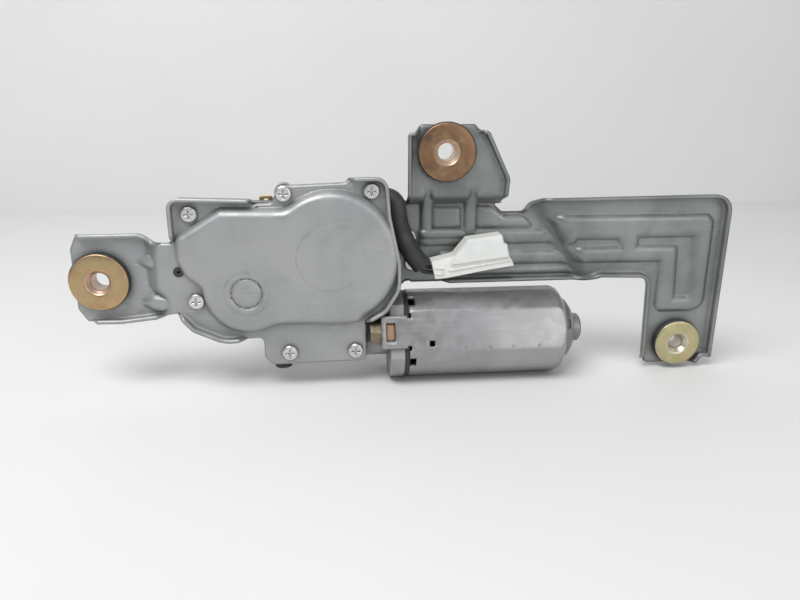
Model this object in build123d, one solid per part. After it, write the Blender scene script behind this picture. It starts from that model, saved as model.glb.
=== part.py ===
from build123d import *
import os
from math import acos, atan, atan2, cos, degrees, hypot, pi, radians, sin, sqrt, tan

# Rear wiper motor: a die-cast gearbox with a stamped cover, a two-pole motor and a stamped arm.
# It is drawn lying on its back, cover upwards (+Z), and stood up at export (cover facing -Y).
# The origin is on the output shaft, at the seat of the wiper arm. All sizes are in millimetres.

# ---- levels, measured up from the wiper arm's seat ----
shaft_reach = 62.0          # seat of the wiper arm to the cover's outer face
cover_sheet = 1.6
gasket_thick = 0.8
cover_face = shaft_reach
cover_back = cover_face - cover_sheet
casting_face = cover_back - gasket_thick

# ---- motor and worm ----
motor_drop = 29.0           # motor axis below the output shaft
motor_depth = 14.0          # motor axis behind the cover's outer face
motor_y = -motor_drop
motor_z = cover_face - motor_depth
worm_module = 1.15
worm_teeth = 51
worm_pitch_r = 5.3
worm_length = 22.0
tooth_gap = 0.3             # flank clearance of worm and wheel, each side
wheel_thick = 8.0
wheel_x = 38.0
wheel_pitch_r = worm_module * worm_teeth / 2
wheel_tip_r = wheel_pitch_r + 0.9 * worm_module
wheel_root_r = wheel_pitch_r - 1.2 * worm_module
wheel_y = motor_y + worm_pitch_r + wheel_pitch_r
wheel_top = motor_z + wheel_thick / 2
wheel_bottom = motor_z - wheel_thick / 2
worm_tip_r = worm_pitch_r + 0.95 * worm_module
worm_root_r = worm_pitch_r - 1.2 * worm_module
worm_pitch = pi * worm_module
worm_lead = degrees(atan(worm_module / 2 / worm_pitch_r))
worm_hand = -1              # lean of the wheel's teeth that suits the thread
axle_r = 4.0
axle_deep = 3.6
washer_room = 0.6
contact_thick = 0.5

# ---- linkage ----
gear_module = 1.25
pinion_teeth = 12
sector_teeth = 24
pressure_angle = 25.0
gear_backlash = 0.2
crank_throw = 11.0
sector_reach = 34.0         # sector pivot to crank pin
sector_half = 4             # teeth each side of the sector's middle tooth space
pinion_r = gear_module * pinion_teeth / 2
sector_r = gear_module * sector_teeth / 2
link_length = pinion_r + sector_r
link_thick = 2.0
link_gap = 0.5              # link to the inside of the bulge, and link to sector
gear_thick = 4.6
crank_pin_r = 3.0
pivot_pin_r = 3.0
open_gap = 0.3              # crank pin's foot above the wheel's crank boss

# ---- running fits ----
run_fit = 0.05
slip = 0.3

# ---- output shaft ----
shaft_r = 5.0
shaft_nose_r = 4.0
bush_wall = 2.0
bush_length = 12.0
seat_r = 4.8
seat_length = 9.0
thread_r = 3.8
thread_length = 11.0
boss_r = 9.2
boss_tip = 14.0             # casting boss ends this far short of the seat
circlip_at = boss_tip - 2.6

# ---- cover ----
bulge_height = 5.0
bulge_taper = 27.0
bulge_crest_r = 1.5
bulge_corner_r = 3.0
ear_set_back = 7.0
joggle_run = 7.0
flange_high = 4.6
lip_high = 3.0
dart_spots = (18.5, -4.2)       # stiffening darts across the step of the ear
dart_wide = 5.6
dart_run = 8.0
screw_head_r = 3.9
screw_head_high = 2.4
screw_r = 2.0
screw_bite = 3.8
screw_spots = [(-24.6, 38.4), (19.5, 47.3), (61.0, 48.0), (-24.5, -4.3), (19.1, -32.5), (52, -32.5)]

# ---- casting ----
casting_inset = 0.9
opening_inset = 1.2         # casting's opening, inside the foot of the cover's bulge
casting_flange = 3.6
wall = 2.5
wheel_room = 1.0
floor_thick = 2.6
floor_gap = 2.2             # wheel's back to the chamber floor, room for the park switch
chamber_r = wheel_tip_r + wheel_room
chamber_floor = wheel_bottom - floor_gap
casting_back = chamber_floor - floor_thick

# ---- motor ----
can_r = 22.8
can_flat = 20.4             # flats of the can, from the motor axis
can_wall = 1.8
can_tilt = 20.0             # front flat turned up, towards the arm
can_start = 79.0
can_shoulder = 156.0
tab_wide = 16.4
notch_turn = 43.0           # square notches in the can's rim, from the middle of each flat
notch_x = can_start + 1.6
punch_marks = (107, 119.5, 131.5, 145)
cap_start = 160.5
cap_end = 172.0
cap_r = 17.0
cap_boss_r = 7.4
boss_inner_r = 6.0
card_thick = 2.5
card_start = can_start - card_thick
flange_start = 69.5
neck_r = 11.2
ear_start = 64.9            # casting's bolt ears and the can's tabs start here
ear_thick = 2.6
nut_wide = 8.0
nut_high = 4.2
nut_gap = 0.1
bolt_r = 2.1
bolt_out = 14.8             # bolt from the motor axis
bolt_head_r = 5.0
bolt_head_high = 5.6
journal_r = 4.0
shaft_end = 166.0
nose_bush_r = 6.0
nose_bush_start = 14.5
core_start = 97.0
core_end = 141.0
slots = 10
magnet_thick = 4.6
air_gap = 0.7
armature_r = can_r - can_wall - magnet_thick - air_gap
commutator_r = 9.0
brush_x = can_start + 6.6
guide_low = commutator_r + 2.3
guide_high = can_flat - can_wall - 1.0

# ---- arm and bushes ----
arm_set_back = 17.0
arm_sheet = 1.6
arm_joggle = 7.4
arm_flange = 5.0
arm_rib = 2.1
arm_rib_taper = 30.0
gusset_spots = (89.6, 110.8)    # ribs across the step of the upper ear
gusset_wide = 6.4
gusset_up = 9.0
gusset_down = 12.0
arm_face = cover_face - arm_set_back
arm_front = arm_face + arm_joggle
lug_level = arm_face - arm_sheet
arm_screw_spots = [(82.4, 8.1), (80.2, 21.5), (70.5, 31.0)]
arm_screw_head = 1.6
ear_step_y = 38.6
ear_step_run = 6.0
side_step = (147.0, 31.0)
side_step_heading = 38.0
side_step_run = 7.0
ear_face = cover_face - ear_set_back
bush_stack = 3.8            # rubber in front of the sheet
washer_thick = 1.2
bush_back = 3.9
bush_spots = {"left": (-70.5, 5.3), "top": (98.0, 65.0), "right": (225.5, -37.2)}
bush_face = {"left": ear_face, "top": arm_front, "right": arm_front}
washer_r = {"left": 14.0, "top": 14.0, "right": 12.3}
bore_r = {"left": 4.2, "top": 4.2, "right": 3.6}
tube_wall = 1.6
rubber_grip = 2.6           # rubber between the steel tube and the sheet

# ---- lead and connector ----
sleeve_r = 4.85
grommet_waist = 6.2
grommet_deep = 5.0
outlet = (55.5, 42.0, 48.0)     # where the lead leaves the casting, heading along +X
lead_start = (outlet[0] - grommet_deep, outlet[1], outlet[2])
lead_route = [(61.5, 42.0, 48.0), (73.4, 43.2, 50.0), (74.6, 30.0, 53.0), (78.2, 20.6, 54.0),
              (82.6, 13.4, 54.4), (86.4, 8.6, 54.2)]
wire_r = 1.0
wire_rows = (4.0, 7.0)
wire_level = 5.6
connector_at = (91.8, 0.6)
connector_turn = 9.5
connector_low = arm_face + 2.6
connector_thick = 11.0
connector_length = 41.0
blade_size = (12, 2.2, 0.8)
blade_spots = [(16, 4.4, 5.2), (16, 10.2, 5.2)]

# ---- small fittings ----
vent_at = (-32.0, 10.4)
vent_r = 1.9
drain_at = (14.5, -37.6)
drain_r = 3.0
earth_at = (10.6, 38.5)

bar_align = (Align.CENTER, Align.CENTER, Align.MIN)


# ---------------------------------------------------------------- helpers


def outline(corners):
    """A flat face from its corners, each a point and the radius there, drawn clockwise."""
    corners = corners[::-1]
    return make_face(FilletPolyline(*[p for p, _ in corners], radius=[r for _, r in corners], close=True))


def plain(points, radius):
    return outline([(p, radius) for p in points])


def prism(face, low, high):
    return extrude(Pos(0, 0, low) * face, high - low)


def disc(x, y, r, low, high):
    return Pos(x, y, low) * Cylinder(r, high - low, align=bar_align)


def at(point):
    return Pos(point[0], point[1], 0)


def ring(x, y, outer, inner, low, high):
    return disc(x, y, outer, low, high) - disc(x, y, inner, low - 1, high + 1)


def block(x0, x1, y0, y1, z0, z1):
    return Pos(x0, y0, z0) * Box(x1 - x0, y1 - y0, z1 - z0, align=(Align.MIN,) * 3)


def along_x(r, x0, x1):
    """A round bar on the motor axis."""
    bar = Cylinder(r, x1 - x0, align=bar_align)
    return Pos(x0, motor_y, motor_z) * Rot(0, 90, 0) * bar


def tube_x(outer, inner, x0, x1):
    return along_x(outer, x0, x1) - along_x(inner, x0 - 1, x1 + 1)


def raised(face, low, height, taper):
    return extrude(Pos(0, 0, low) * face, height, taper=taper)


def joggle(x, y, heading, run, level_a, level_b, thick, rise=0.0):
    """An endless strip of sheet that steps from level_a to level_b along the heading."""
    far = 400
    points = [(-far, level_a - thick), (0, level_a - thick), (run, level_b - thick), (far, level_b - thick),
              (far, level_b + rise), (run, level_b + rise), (0, level_a + rise), (-far, level_a + rise)]
    across = (cos(radians(heading)), sin(radians(heading)), 0)
    normal = (sin(radians(heading)), -cos(radians(heading)), 0)
    section = Plane(origin=(x, y, 0), x_dir=across, z_dir=normal) * make_face(Polyline(*points, close=True))
    return extrude(section, far, both=True)


# ---------------------------------------------------------------- outlines
cover_points = [
    ((-34, 24.6), 2), ((-34, 46.4), 5), ((4.8, 45), 2), ((5, 42.6), 1), ((13.6, 42.9), 2), ((17.4, 51), 2.5),
    ((48.5, 52.1), 1.5), ((50.6, 54.5), 2), ((68.6, 54.8), 6), ((70, 36), 20), ((74.8, 13), 10),
    ((74.9, -0.5), 14), ((67.5, -12.5), 10), ((57.9, -18), 2), ((57.6, -38.5), 3), ((10, -39.3), 5),
    ((6.3, -34.6), 2), ((6.3, -24.4), 2.5), ((-12.4, -25.9), 18), ((-27.2, -19), 8), ((-34.5, -10.2), 3),
    ((-42, -13.9), 4), ((-62, -16), 10), ((-79, -15.8), 2.5), ((-83.3, -8), 4), ((-83.3, 28.7), 4.5),
    ((-50, 28.5), 6), ((-40, 24.7), 4)]
cover_outline = outline(cover_points)
cover_left = -34.0          # the casting ends here, and the left ear goes on alone
cover_body = cover_outline & Pos(cover_left + 100, 0) * Rectangle(200, 200)

bulge_lobe = [(-32.6, 27), (-8, 42), (26, 41), (42, 20), (54.5, -16.7), (9, -16.7), (-16, -4),
              (-22.6, 3), (-29.2, 7.4)]
bulge_rounds = [((0, 0), 20.3), ((42, 17.2), 31.6)]
lobe = plain(bulge_lobe, bulge_corner_r)


def bulge_prism(shrink, low, high):
    """The raised middle's outline: a lobe, a round over the shaft and a round over the wheel."""
    rounds = [disc(x, y, r - shrink, low, high) for (x, y), r in bulge_rounds]
    return prism(offset(lobe, -shrink), low, high) + rounds


def bulge_hump(shrink, low, crest_r=0.0):
    """The same three forms with leaning sides, and with their crests rounded if asked."""
    corners = make_face(Polyline(*bulge_lobe[::-1], close=True))
    tall = raised(offset(corners, -shrink, kind=Kind.INTERSECTION), low, bulge_height, bulge_taper)
    leaning = [edge for edge in tall.edges() if abs(edge.tangent_at(0.5).Z) > 0.3]
    humps = [fillet(leaning, bulge_corner_r)]
    for middle, r in bulge_rounds:
        humps.append(raised(at(middle) * Circle(r - shrink), low, bulge_height, bulge_taper))
    if crest_r:
        humps = [fillet(hump.edges().group_by(Axis.Z)[-1], crest_r) for hump in humps]
    return humps[0] + humps[1:]


# ---------------------------------------------------------------- linkage positions
def meet(a, ra, b, rb):
    """Where circles about a and b cross, on the upper side of the line from a to b."""
    gap = hypot(b[0] - a[0], b[1] - a[1])
    turn = atan2(b[1] - a[1], b[0] - a[0]) + acos((ra**2 + gap**2 - rb**2) / (2 * ra * gap))
    return a[0] + ra * cos(turn), a[1] + ra * sin(turn)


crank_at = (wheel_x, wheel_y + crank_throw)
pivot_at = meet((0, 0), link_length, crank_at, sector_reach)
link_angle = degrees(atan2(pivot_at[1], pivot_at[0]))
link_top = cover_face + bulge_height - cover_sheet - link_gap
link_bottom = link_top - link_thick
gear_top = link_bottom - link_gap / 2
gear_bottom = gear_top - gear_thick
crank_boss_top = gear_bottom - open_gap
shaft_floor = gear_bottom - 1.2
pocket_back = gear_bottom - 4.2


# ---------------------------------------------------------------- cover and casting
def wall_shift(thick, taper):
    """How far a pressed wall's inner outline lies inside its outer one."""
    return thick * (1 - sin(radians(taper))) / cos(radians(taper))


def rim_band(face, thick):
    return face - offset(face, -thick)


def windows(boxes):
    """Flat areas, each (x0, y0, x1, y1), that say where an edge is flanged."""
    areas = [Pos((x0 + x1) / 2, (y0 + y1) / 2) * Rectangle(x1 - x0, y1 - y0) for x0, y0, x1, y1 in boxes]
    return Sketch() + areas


joggle_x = cover_left - joggle_run
cover_flanges = windows([(-90, 20, -41, 35), (-76, -20, -43, -9), (-35, 26, 4.6, 50)])
cover_lips = windows([(51, 30, 76, 60), (58.5, -18, 80, 35), (-33, -30, -3, -12)])


def cover_strip(rise):
    return joggle(joggle_x, 0, 0, joggle_run, ear_face, cover_face, cover_sheet, rise)


def cover_plate():
    sheet = prism(cover_outline, ear_face - 10, cover_face + 10) & cover_strip(0)
    band = rim_band(cover_outline, cover_sheet)
    flange = prism(band & cover_flanges, ear_face - 10, cover_face + 10) & cover_strip(flange_high)
    lip = prism(band & cover_lips, ear_face - 10, cover_face + 10) & cover_strip(lip_high)
    plate = sheet + flange + lip + bulge_hump(0, cover_face, bulge_crest_r)
    plate -= bulge_hump(wall_shift(cover_sheet, bulge_taper), cover_back)
    crest = cover_face + bulge_height
    plate += ring(0, 0, 11.3, 8.0, crest - 0.2, crest + 0.7) + disc(0, 0, 3.2, crest - 0.2, crest + 0.4)
    for x, y in screw_spots:
        plate -= disc(x, y, screw_r + slip, 0, cover_face + 5)
    plate -= disc(*vent_at, vent_r, 0, cover_face + 5)
    plate -= disc(*bush_spots["left"], sheet_hole("left"), 0, cover_face + 5)
    for y in dart_spots:
        plate += ear_dart(y)
    return plate


def ear_dart(y):
    """A pressed dart in the step between the cover and its ear, pointed at the ear's end."""
    tip, root = joggle_x - dart_run, joggle_x + 5.0
    plan = make_face(Polyline((tip, y), (root - 3, y - dart_wide / 2), (root, y - dart_wide / 2),
                              (root, y + dart_wide / 2), (root - 3, y + dart_wide / 2), close=True))
    ridge = [(tip - 1, ear_face - 0.6), (tip - 1, ear_face - 0.2), (root, ear_face + 5.4),
             (root, ear_face + 4.4), (joggle_x + 0.4, ear_face - 0.6)]
    side = Plane.XZ.offset(-y - dart_wide) * make_face(Polyline(*ridge, close=True))
    return extrude(side, 2 * dart_wide, dir=(0, -1, 0)) & prism(plan, ear_face - 1, cover_face + 1)


def sheet_hole(name):
    """Radius of the hole in the sheet that holds a bush's rubber."""
    return bore_r[name] + tube_wall + rubber_grip


def cover_gasket():
    face = offset(cover_body, -casting_inset)
    pad = prism(face, casting_face, cover_back) - bulge_prism(opening_inset, 0, cover_face)
    for x, y in screw_spots:
        pad -= disc(x, y, screw_r + slip, 0, cover_face)
    return pad


def cover_screw(x, y):
    """A pan head screw with a cross recess, seated on the cover."""
    head = disc(x, y, screw_head_r, cover_face, cover_face + screw_head_high)
    head = fillet(head.edges().group_by(Axis.Z)[-1], 1.1)
    cross = Box(4.4, 0.9, 1.4) + Box(0.9, 4.4, 1.4)
    shank = disc(x, y, screw_r, casting_face - screw_bite, cover_face + 0.1)
    return head + shank - Pos(x, y, cover_face + screw_head_high) * cross


def gear_housing():
    flange = prism(offset(cover_body, -casting_inset), casting_face - casting_flange, casting_face)
    chamber = disc(wheel_x, wheel_y, chamber_r + wall, casting_back, casting_face)
    lower = plain([(9, -18), (57, -18), (57, -37.6), (9, -37.6)], 1.5)
    tunnel = prism(lower, motor_z - worm_tip_r - 4.5, casting_face - 0.2)
    axle_boss = disc(wheel_x, wheel_y, axle_r + 4, casting_back - axle_deep - 1.5, casting_back + 1)
    axle_boss += disc(wheel_x, wheel_y, axle_r + 3, casting_back, wheel_bottom - washer_room)
    boss = disc(0, 0, boss_r + 1.5, casting_back, casting_face) + shaft_boss()
    pocket_walls = prism(offset(lobe, 1.6), pocket_back, casting_face - 1)
    body = flange + tunnel + motor_flange() + boss + pocket_walls
    body += arm_lug() + ribs() + bolt_ears() + lead_outlet()
    for x, y in screw_spots:
        body += disc(x, y, 4.4, casting_face - screw_bite - 0.8, casting_face - 0.5)
    return body + chamber - housing_hollows() + axle_boss - axle_hole()


def shaft_boss():
    """The long boss that carries the output shaft, tapered towards the wiper arm."""
    tall = casting_back - boss_tip
    cone = Cone(boss_r, boss_r + 2.6, tall, align=bar_align)
    return Pos(0, 0, boss_tip) * cone


def ribs():
    """Ribs from the shaft's boss out to the chamber's edge, on the casting's back."""
    body = Part()
    for angle in (75, 120, 165, 210, 255, 300):
        rib = Box(23, 2.4, 9, align=(Align.MIN, Align.CENTER, Align.MAX))
        body += Rot(0, 0, angle) * Pos(6, 0, casting_face - casting_flange + 0.5) * rib
    for angle in (-28, 0, 30):
        rib = Box(30, 2.4, 6, align=(Align.MIN, Align.CENTER, Align.MAX))
        body += Rot(0, 0, angle) * Pos(9, 0, casting_back + 0.5) * rib
    return body


def motor_flange():
    """The casting's round end, that the can is bolted to."""
    width = 2 * (can_flat - can_wall - 0.1)
    disk = along_x(can_r + 0.2, flange_start, card_start)
    trim = motor_frame() * Box(400, 2 * can_r + 2, width)
    neck = along_x(neck_r, wheel_x + worm_length / 2, card_start)
    return (disk & trim) + neck


def bolt_ears():
    ears = Part()
    for side in (1, -1):
        lug = Box(card_start - ear_start, nut_wide + 5.4, 9, align=(Align.MIN, Align.CENTER, Align.CENTER))
        ears += motor_frame() * Pos(ear_start, 0, side * (can_flat - can_wall - 4.6)) * lug
    return ears


def nut_pocket():
    pocket = Box(nut_high + 2, nut_wide + 0.6, 20, align=(Align.MIN, Align.CENTER, Align.MIN))
    return Pos(0, 0, bolt_out - nut_wide / 2 - nut_gap) * pocket


def motor_frame():
    """The motor's own axes: +Z out of the front flat, turned up by the can's tilt."""
    return Pos(0, motor_y, motor_z) * Rot(-can_tilt, 0, 0)


def arm_lug():
    web = plain([(60, -6), (60, 26), (70, 39.5), (80, 40), (86.5, 26), (88, 4), (84, -1.5)], 3)
    return prism(web, casting_back + 0.5, lug_level)


def housing_hollows():
    linkage = bulge_prism(opening_inset, gear_bottom - 1.2, cover_face)
    wheel = disc(wheel_x, wheel_y, chamber_r, chamber_floor, cover_face)
    worm = along_x(worm_tip_r + 0.6, wheel_x - worm_length / 2 - 1, 90)
    tail = along_x(nose_bush_r, nose_bush_start, 60)
    shaft = disc(0, 0, shaft_r + bush_wall, boss_tip - 1, boss_tip + bush_length)
    shaft += disc(0, 0, shaft_r + bush_wall, shaft_floor - bush_length, shaft_floor + 1)
    shaft += disc(0, 0, shaft_r + 0.8, boss_tip, shaft_floor)
    holes = linkage + wheel + worm + tail + shaft
    for x, y in screw_spots:
        holes += disc(x, y, screw_r, casting_face - screw_bite - 0.2, cover_face)
    for x, y in arm_screw_spots:
        holes += disc(x, y, screw_r, casting_back - 1, lug_level + 1)
    for side in (1, -1):
        bar = Cylinder(bolt_r + slip, nut_high + 12, align=bar_align)
        holes += motor_frame() * Pos(ear_start - 1, 0, side * bolt_out) * Rot(0, 90, 0) * bar
        head = Cylinder(bolt_head_r + 1.3, 8, align=bar_align)
        holes += motor_frame() * Pos(ear_start - 8, 0, side * bolt_out) * Rot(0, 90, 0) * head
        turn = 90 * (1 - side)
        holes += motor_frame() * Rot(turn, 0, 0) * Pos(ear_start + ear_thick, 0, 0) * nut_pocket()
    holes += grommet_place() * Cylinder(grommet_waist, 2 * grommet_deep)
    holes += drain_place() * Cylinder(drain_r, 12)
    return holes


def grommet_place():
    """On the outlet's face, with +Z along the lead's way out."""
    return Pos(*outlet) * Rot(0, 90, 0)


def lead_outlet():
    """A cast block under the flange, with the pocket of the lead's grommet in its end."""
    x, y, z = outlet
    side = grommet_waist + 1.6
    return block(x - 14, x, y - side, y + side - 1.5, z - side + 1.4, casting_face - 1)


def drain_place():
    return Pos(drain_at[0], drain_at[1], motor_z) * Rot(90, 0, 0)


def axle_hole():
    return disc(wheel_x, wheel_y, axle_r, casting_back - axle_deep, wheel_top)


# ---------------------------------------------------------------- gears
def involute_flank(base_r, tip_r, root_r, half_angle, steps=4):
    """One flank of a gear tooth, from root to tip, as points (radius, angle from the tooth's middle)."""
    start = max(base_r, root_r)
    pitch_turn = half_angle
    flank = [(root_r, pitch_turn - roll(base_r, start))] if root_r < start else []
    for i in range(steps):
        r = start + (tip_r - start) * i / (steps - 1)
        flank.append((r, pitch_turn - roll(base_r, r)))
    return flank


def roll(base_r, r):
    """The involute's own angle at radius r."""
    slope = sqrt(max(r**2 / base_r**2 - 1, 0))
    return slope - atan(slope)


def spur_face(teeth, first_angle, count=None):
    """A gear's outline, with count teeth from first_angle on, or all of them."""
    pitch = gear_module * teeth / 2
    base = pitch * cos(radians(pressure_angle))
    tip, root = pitch + 0.9 * gear_module, pitch - 1.15 * gear_module
    half = pi / (2 * teeth) - gear_backlash / 2 / pitch + roll(base, pitch)
    flank = involute_flank(base, tip, root, half)
    points = []
    for i in range(count or teeth):
        middle = radians(first_angle) + 2 * pi * i / teeth
        sides = [(r, middle - turn) for r, turn in flank] + [(r, middle + turn) for r, turn in flank[::-1]]
        points += [(r * cos(a), r * sin(a)) for r, a in sides]
    if count:
        points.append((0, 0))
    return make_face(Polyline(*points, close=True))


mesh_heading = link_angle   # from the output shaft to the sector's pivot


def output_pinion():
    face = spur_face(pinion_teeth, mesh_heading)
    gear = prism(face, gear_bottom, gear_top)
    return gear - disc(0, 0, shaft_r - 1, 0, 100)


def output_shaft():
    """Nose, pinion seat, journal, wiper arm seat and threaded end, on one axis."""
    taper = 0.6
    half = [(0, -thread_length - seat_length / 2), (thread_r - taper, -thread_length - seat_length / 2),
            (thread_r, -thread_length - seat_length / 2 + taper), (thread_r, -seat_length / 2),
            (seat_r, -seat_length / 2), (seat_r, seat_length / 2), (seat_r - 0.6, seat_length / 2),
            (seat_r - 0.6, seat_length / 2 + 1), (shaft_r, seat_length / 2 + 1.6), (shaft_r, gear_bottom),
            (shaft_r - 1, gear_bottom), (shaft_r - 1, link_top), (0, link_top)]
    section = Plane.XZ * make_face(Polyline(*half, close=True))
    return revolve(section, Axis.Z)


def shaft_bush(low):
    return ring(0, 0, shaft_r + bush_wall, shaft_r + run_fit, low, low + bush_length)


def shaft_washer(low, high):
    return ring(0, 0, shaft_r + 2.6, shaft_r + run_fit, low, high)


def shaft_circlip():
    """A spring clip in front of the boss, open on one side, with two lugs."""
    clip = ring(0, 0, shaft_r + 2.4, shaft_r + run_fit, circlip_at, circlip_at + 1.0)
    clip -= block(-1.1, 1.1, 0, 20, 0, 40)
    for side in (-1, 1):
        clip += disc(side * 2.6, shaft_r + 2.2, 1.5, circlip_at, circlip_at + 1)
    return clip


def shaft_seal():
    """A rubber cap round the boss's end."""
    skirt = ring(0, 0, boss_r + 1.6, boss_r + 0.25, boss_tip + 0.2, boss_tip + 9)
    lid = ring(0, 0, boss_r + 1.6, shaft_r + 3.0, boss_tip - 1.4, boss_tip)
    return skirt + lid + ring(0, 0, boss_r + 1.6, boss_r - 1.2, boss_tip - 1, boss_tip + 0.2) - shaft_boss()


def link_plate():
    """The flat lever that keeps the sector's pivot at the gears' centre distance."""
    ends = disc(0, 0, 7.2, link_bottom, link_top) + disc(*pivot_at, 6.0, link_bottom, link_top)
    strap = Rot(0, 0, link_angle) * block(0, link_length, -5.2, 5.2, link_bottom, link_top)
    lever = ends + strap
    lever -= disc(0, 0, shaft_nose_r + run_fit, 0, 100) + disc(*pivot_at, pivot_pin_r + run_fit, 0, 100)
    return lever


sector_heading = link_angle + 180


def sector_gear():
    """A toothed segment about its pivot, with an arm out to the crank pin."""
    pitch_angle = 360 / sector_teeth
    first = sector_heading - (sector_half - 0.5) * pitch_angle
    teeth = prism(spur_face(sector_teeth, first, 2 * sector_half), gear_bottom, gear_top)
    body = at(pivot_at) * teeth + disc(*pivot_at, 6.5, gear_bottom, gear_top)
    body += disc(*crank_at, 6.2, gear_bottom, gear_top) + sector_arm()
    return body - disc(*pivot_at, pivot_pin_r, 0, 100) - disc(*crank_at, crank_pin_r, 0, 100)


def sector_arm():
    heading = degrees(atan2(crank_at[1] - pivot_at[1], crank_at[0] - pivot_at[0]))
    length = hypot(crank_at[0] - pivot_at[0], crank_at[1] - pivot_at[1])
    arm = plain([(0, 6.4), (length, 5.2), (length, -5.2), (0, -6.4)], 0)
    slot = plain([(9, 2.2), (length - 9, 1.6), (length - 9, -1.6), (9, -2.2)], 1.4)
    return at(pivot_at) * Rot(0, 0, heading) * prism(arm - slot, gear_bottom, gear_top)


def pivot_pin():
    pin = disc(*pivot_at, pivot_pin_r, gear_bottom, link_top)
    return pin


def crank_pin():
    """A headed pin; its foot stands over the wheel's crank boss."""
    pin = disc(*crank_at, crank_pin_r, gear_bottom, gear_top)
    return pin + disc(*crank_at, crank_pin_r + 1.3, gear_top, gear_top + 1.6)


def worm_wheel():
    """A moulded wheel: toothed rim, thin web with ribs, hub and crank boss."""
    rim = ring(wheel_x, wheel_y, wheel_root_r, wheel_root_r - 4, wheel_bottom, wheel_top)
    web = disc(wheel_x, wheel_y, wheel_root_r - 3, motor_z - 1.6, motor_z + 1.6)
    hub = disc(wheel_x, wheel_y, axle_r + 3.2, wheel_bottom, wheel_top)
    crank = disc(*crank_at, crank_pin_r + 2.0, motor_z, crank_boss_top)
    wheel = rim + web + hub + crank + [wheel_rib(i) for i in range(6)] + wheel_teeth()
    bore = disc(wheel_x, wheel_y, axle_r + run_fit, 0, 100)
    socket = disc(*crank_at, crank_pin_r + 0.1, crank_boss_top - 3, 100)
    return wheel - bore - socket


def wheel_rib(i):
    rib = Box(wheel_root_r - axle_r - 4, 1.8, wheel_thick, align=(Align.MIN, Align.CENTER, Align.CENTER))
    return Pos(wheel_x, wheel_y, motor_z) * Rot(0, 0, 60 * i + 30) * Pos(axle_r + 2, 0, 0) * rib


def tooth_face(low, half_low, high, half_high):
    """A tooth's section: its half width at the low and the high end."""
    corners = [(low, -half_low), (high, -half_high), (high, half_high), (low, half_low)]
    return make_face(Polyline(*corners, close=True))


def wheel_teeth():
    """Straight teeth, each leaning by the worm's lead angle."""
    half_pitch = worm_pitch / 4 - tooth_gap / 2
    slope = tan(radians(20))
    out, inn = 0.9 * worm_module, 1.2 * worm_module + 0.6
    tooth = extrude(tooth_face(wheel_pitch_r - inn, half_pitch + inn * slope,
                               wheel_pitch_r + out, half_pitch - out * slope), wheel_thick, both=True)
    tooth = Rot(worm_hand * worm_lead, 0, 0) * tooth
    tooth &= Box(200, 200, wheel_thick)
    step = 360 / worm_teeth
    middle = Pos(wheel_x, wheel_y, motor_z)
    return [middle * Rot(0, 0, -90 + step * (i + 0.5)) * tooth for i in range(worm_teeth)]


def worm_thread():
    """One start, cut from the shaft's end of the armature, in step with the wheel's tooth space."""
    half_pitch = worm_pitch / 4 - tooth_gap / 2
    slope = tan(radians(20))
    out, inn = worm_tip_r - worm_pitch_r, worm_pitch_r - worm_root_r + 0.25
    start = worm_length / 2 + worm_pitch
    path = Helix(worm_pitch, 2 * start, worm_pitch_r)
    section = Plane.XZ * tooth_face(worm_pitch_r - inn, half_pitch + inn * slope,
                                    worm_pitch_r + out, half_pitch - out * slope)
    thread = sweep(section, path, is_frenet=True)
    thread = Pos(0, 0, -start) * thread & Cylinder(worm_tip_r + 1, worm_length)
    phase = 90 - 360 * (start / worm_pitch % 1)
    return Pos(wheel_x, motor_y, motor_z) * Rot(0, 90, 0) * Rot(0, 0, phase) * thread


def armature_shaft():
    """Journals, worm and the plain length that carries the commutator and the core."""
    worm_low = wheel_x - worm_length / 2 - 0.8
    worm_high = wheel_x + worm_length / 2 + 0.8
    shaft = along_x(journal_r, nose_bush_start + 0.8, shaft_end)
    shaft += along_x(worm_root_r, worm_low, worm_high)
    return shaft + worm_thread()


# ---------------------------------------------------------------- inside the chamber
def wheel_axle():
    return disc(wheel_x, wheel_y, axle_r, casting_back - axle_deep, wheel_top + 1.6)


def wheel_washers():
    low = ring(wheel_x, wheel_y, axle_r + 3, axle_r, wheel_bottom - washer_room, wheel_bottom - 0.1)
    return low + ring(wheel_x, wheel_y, axle_r + 1.6, axle_r, wheel_top + 0.1, wheel_top + 1.0)


def park_contact_ring():
    """A brass track with one gap, on the wheel's back."""
    track = ring(wheel_x, wheel_y, 23.5, 16, wheel_bottom - contact_thick, wheel_bottom)
    return track - Pos(wheel_x, wheel_y, 0) * block(19.5, 30, -5, 5, 0, 100)


def park_switch_plate():
    """The moulded plate on the chamber's floor that carries the sliding contacts."""
    plate = ring(wheel_x, wheel_y, 26, 12, chamber_floor, chamber_floor + 1)
    return plate & Pos(wheel_x, wheel_y, 0) * block(-30, 30, -30, 4, 0, 100)


def park_switch_contacts():
    """Three spring fingers that lie just under the brass track."""
    fingers = []
    for i in range(3):
        blade = block(-8, 8, -1.2, 1.2, chamber_floor + 1, chamber_floor + 1.3)
        tip = block(5.6, 8, -1.2, 1.2, chamber_floor + 1, wheel_bottom - contact_thick - 0.15)
        fingers.append(Pos(wheel_x - 4 + i, wheel_y - 15.5 - 3 * i, 0) * (blade + tip))
    return Part() + fingers


# ---------------------------------------------------------------- motor
def thrust_pad():
    return along_x(journal_r - 0.2, nose_bush_start, nose_bush_start + 0.75)


def nose_bush():
    return tube_x(nose_bush_r, journal_r + run_fit, nose_bush_start, wheel_x - worm_length / 2 - 1.4)


def front_bearing():
    return tube_x(worm_tip_r + 0.6, journal_r + run_fit, 60, 68)


def rear_bearing():
    return tube_x(boss_inner_r, journal_r + run_fit, cap_start + 2.5, cap_end - 4)


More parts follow.
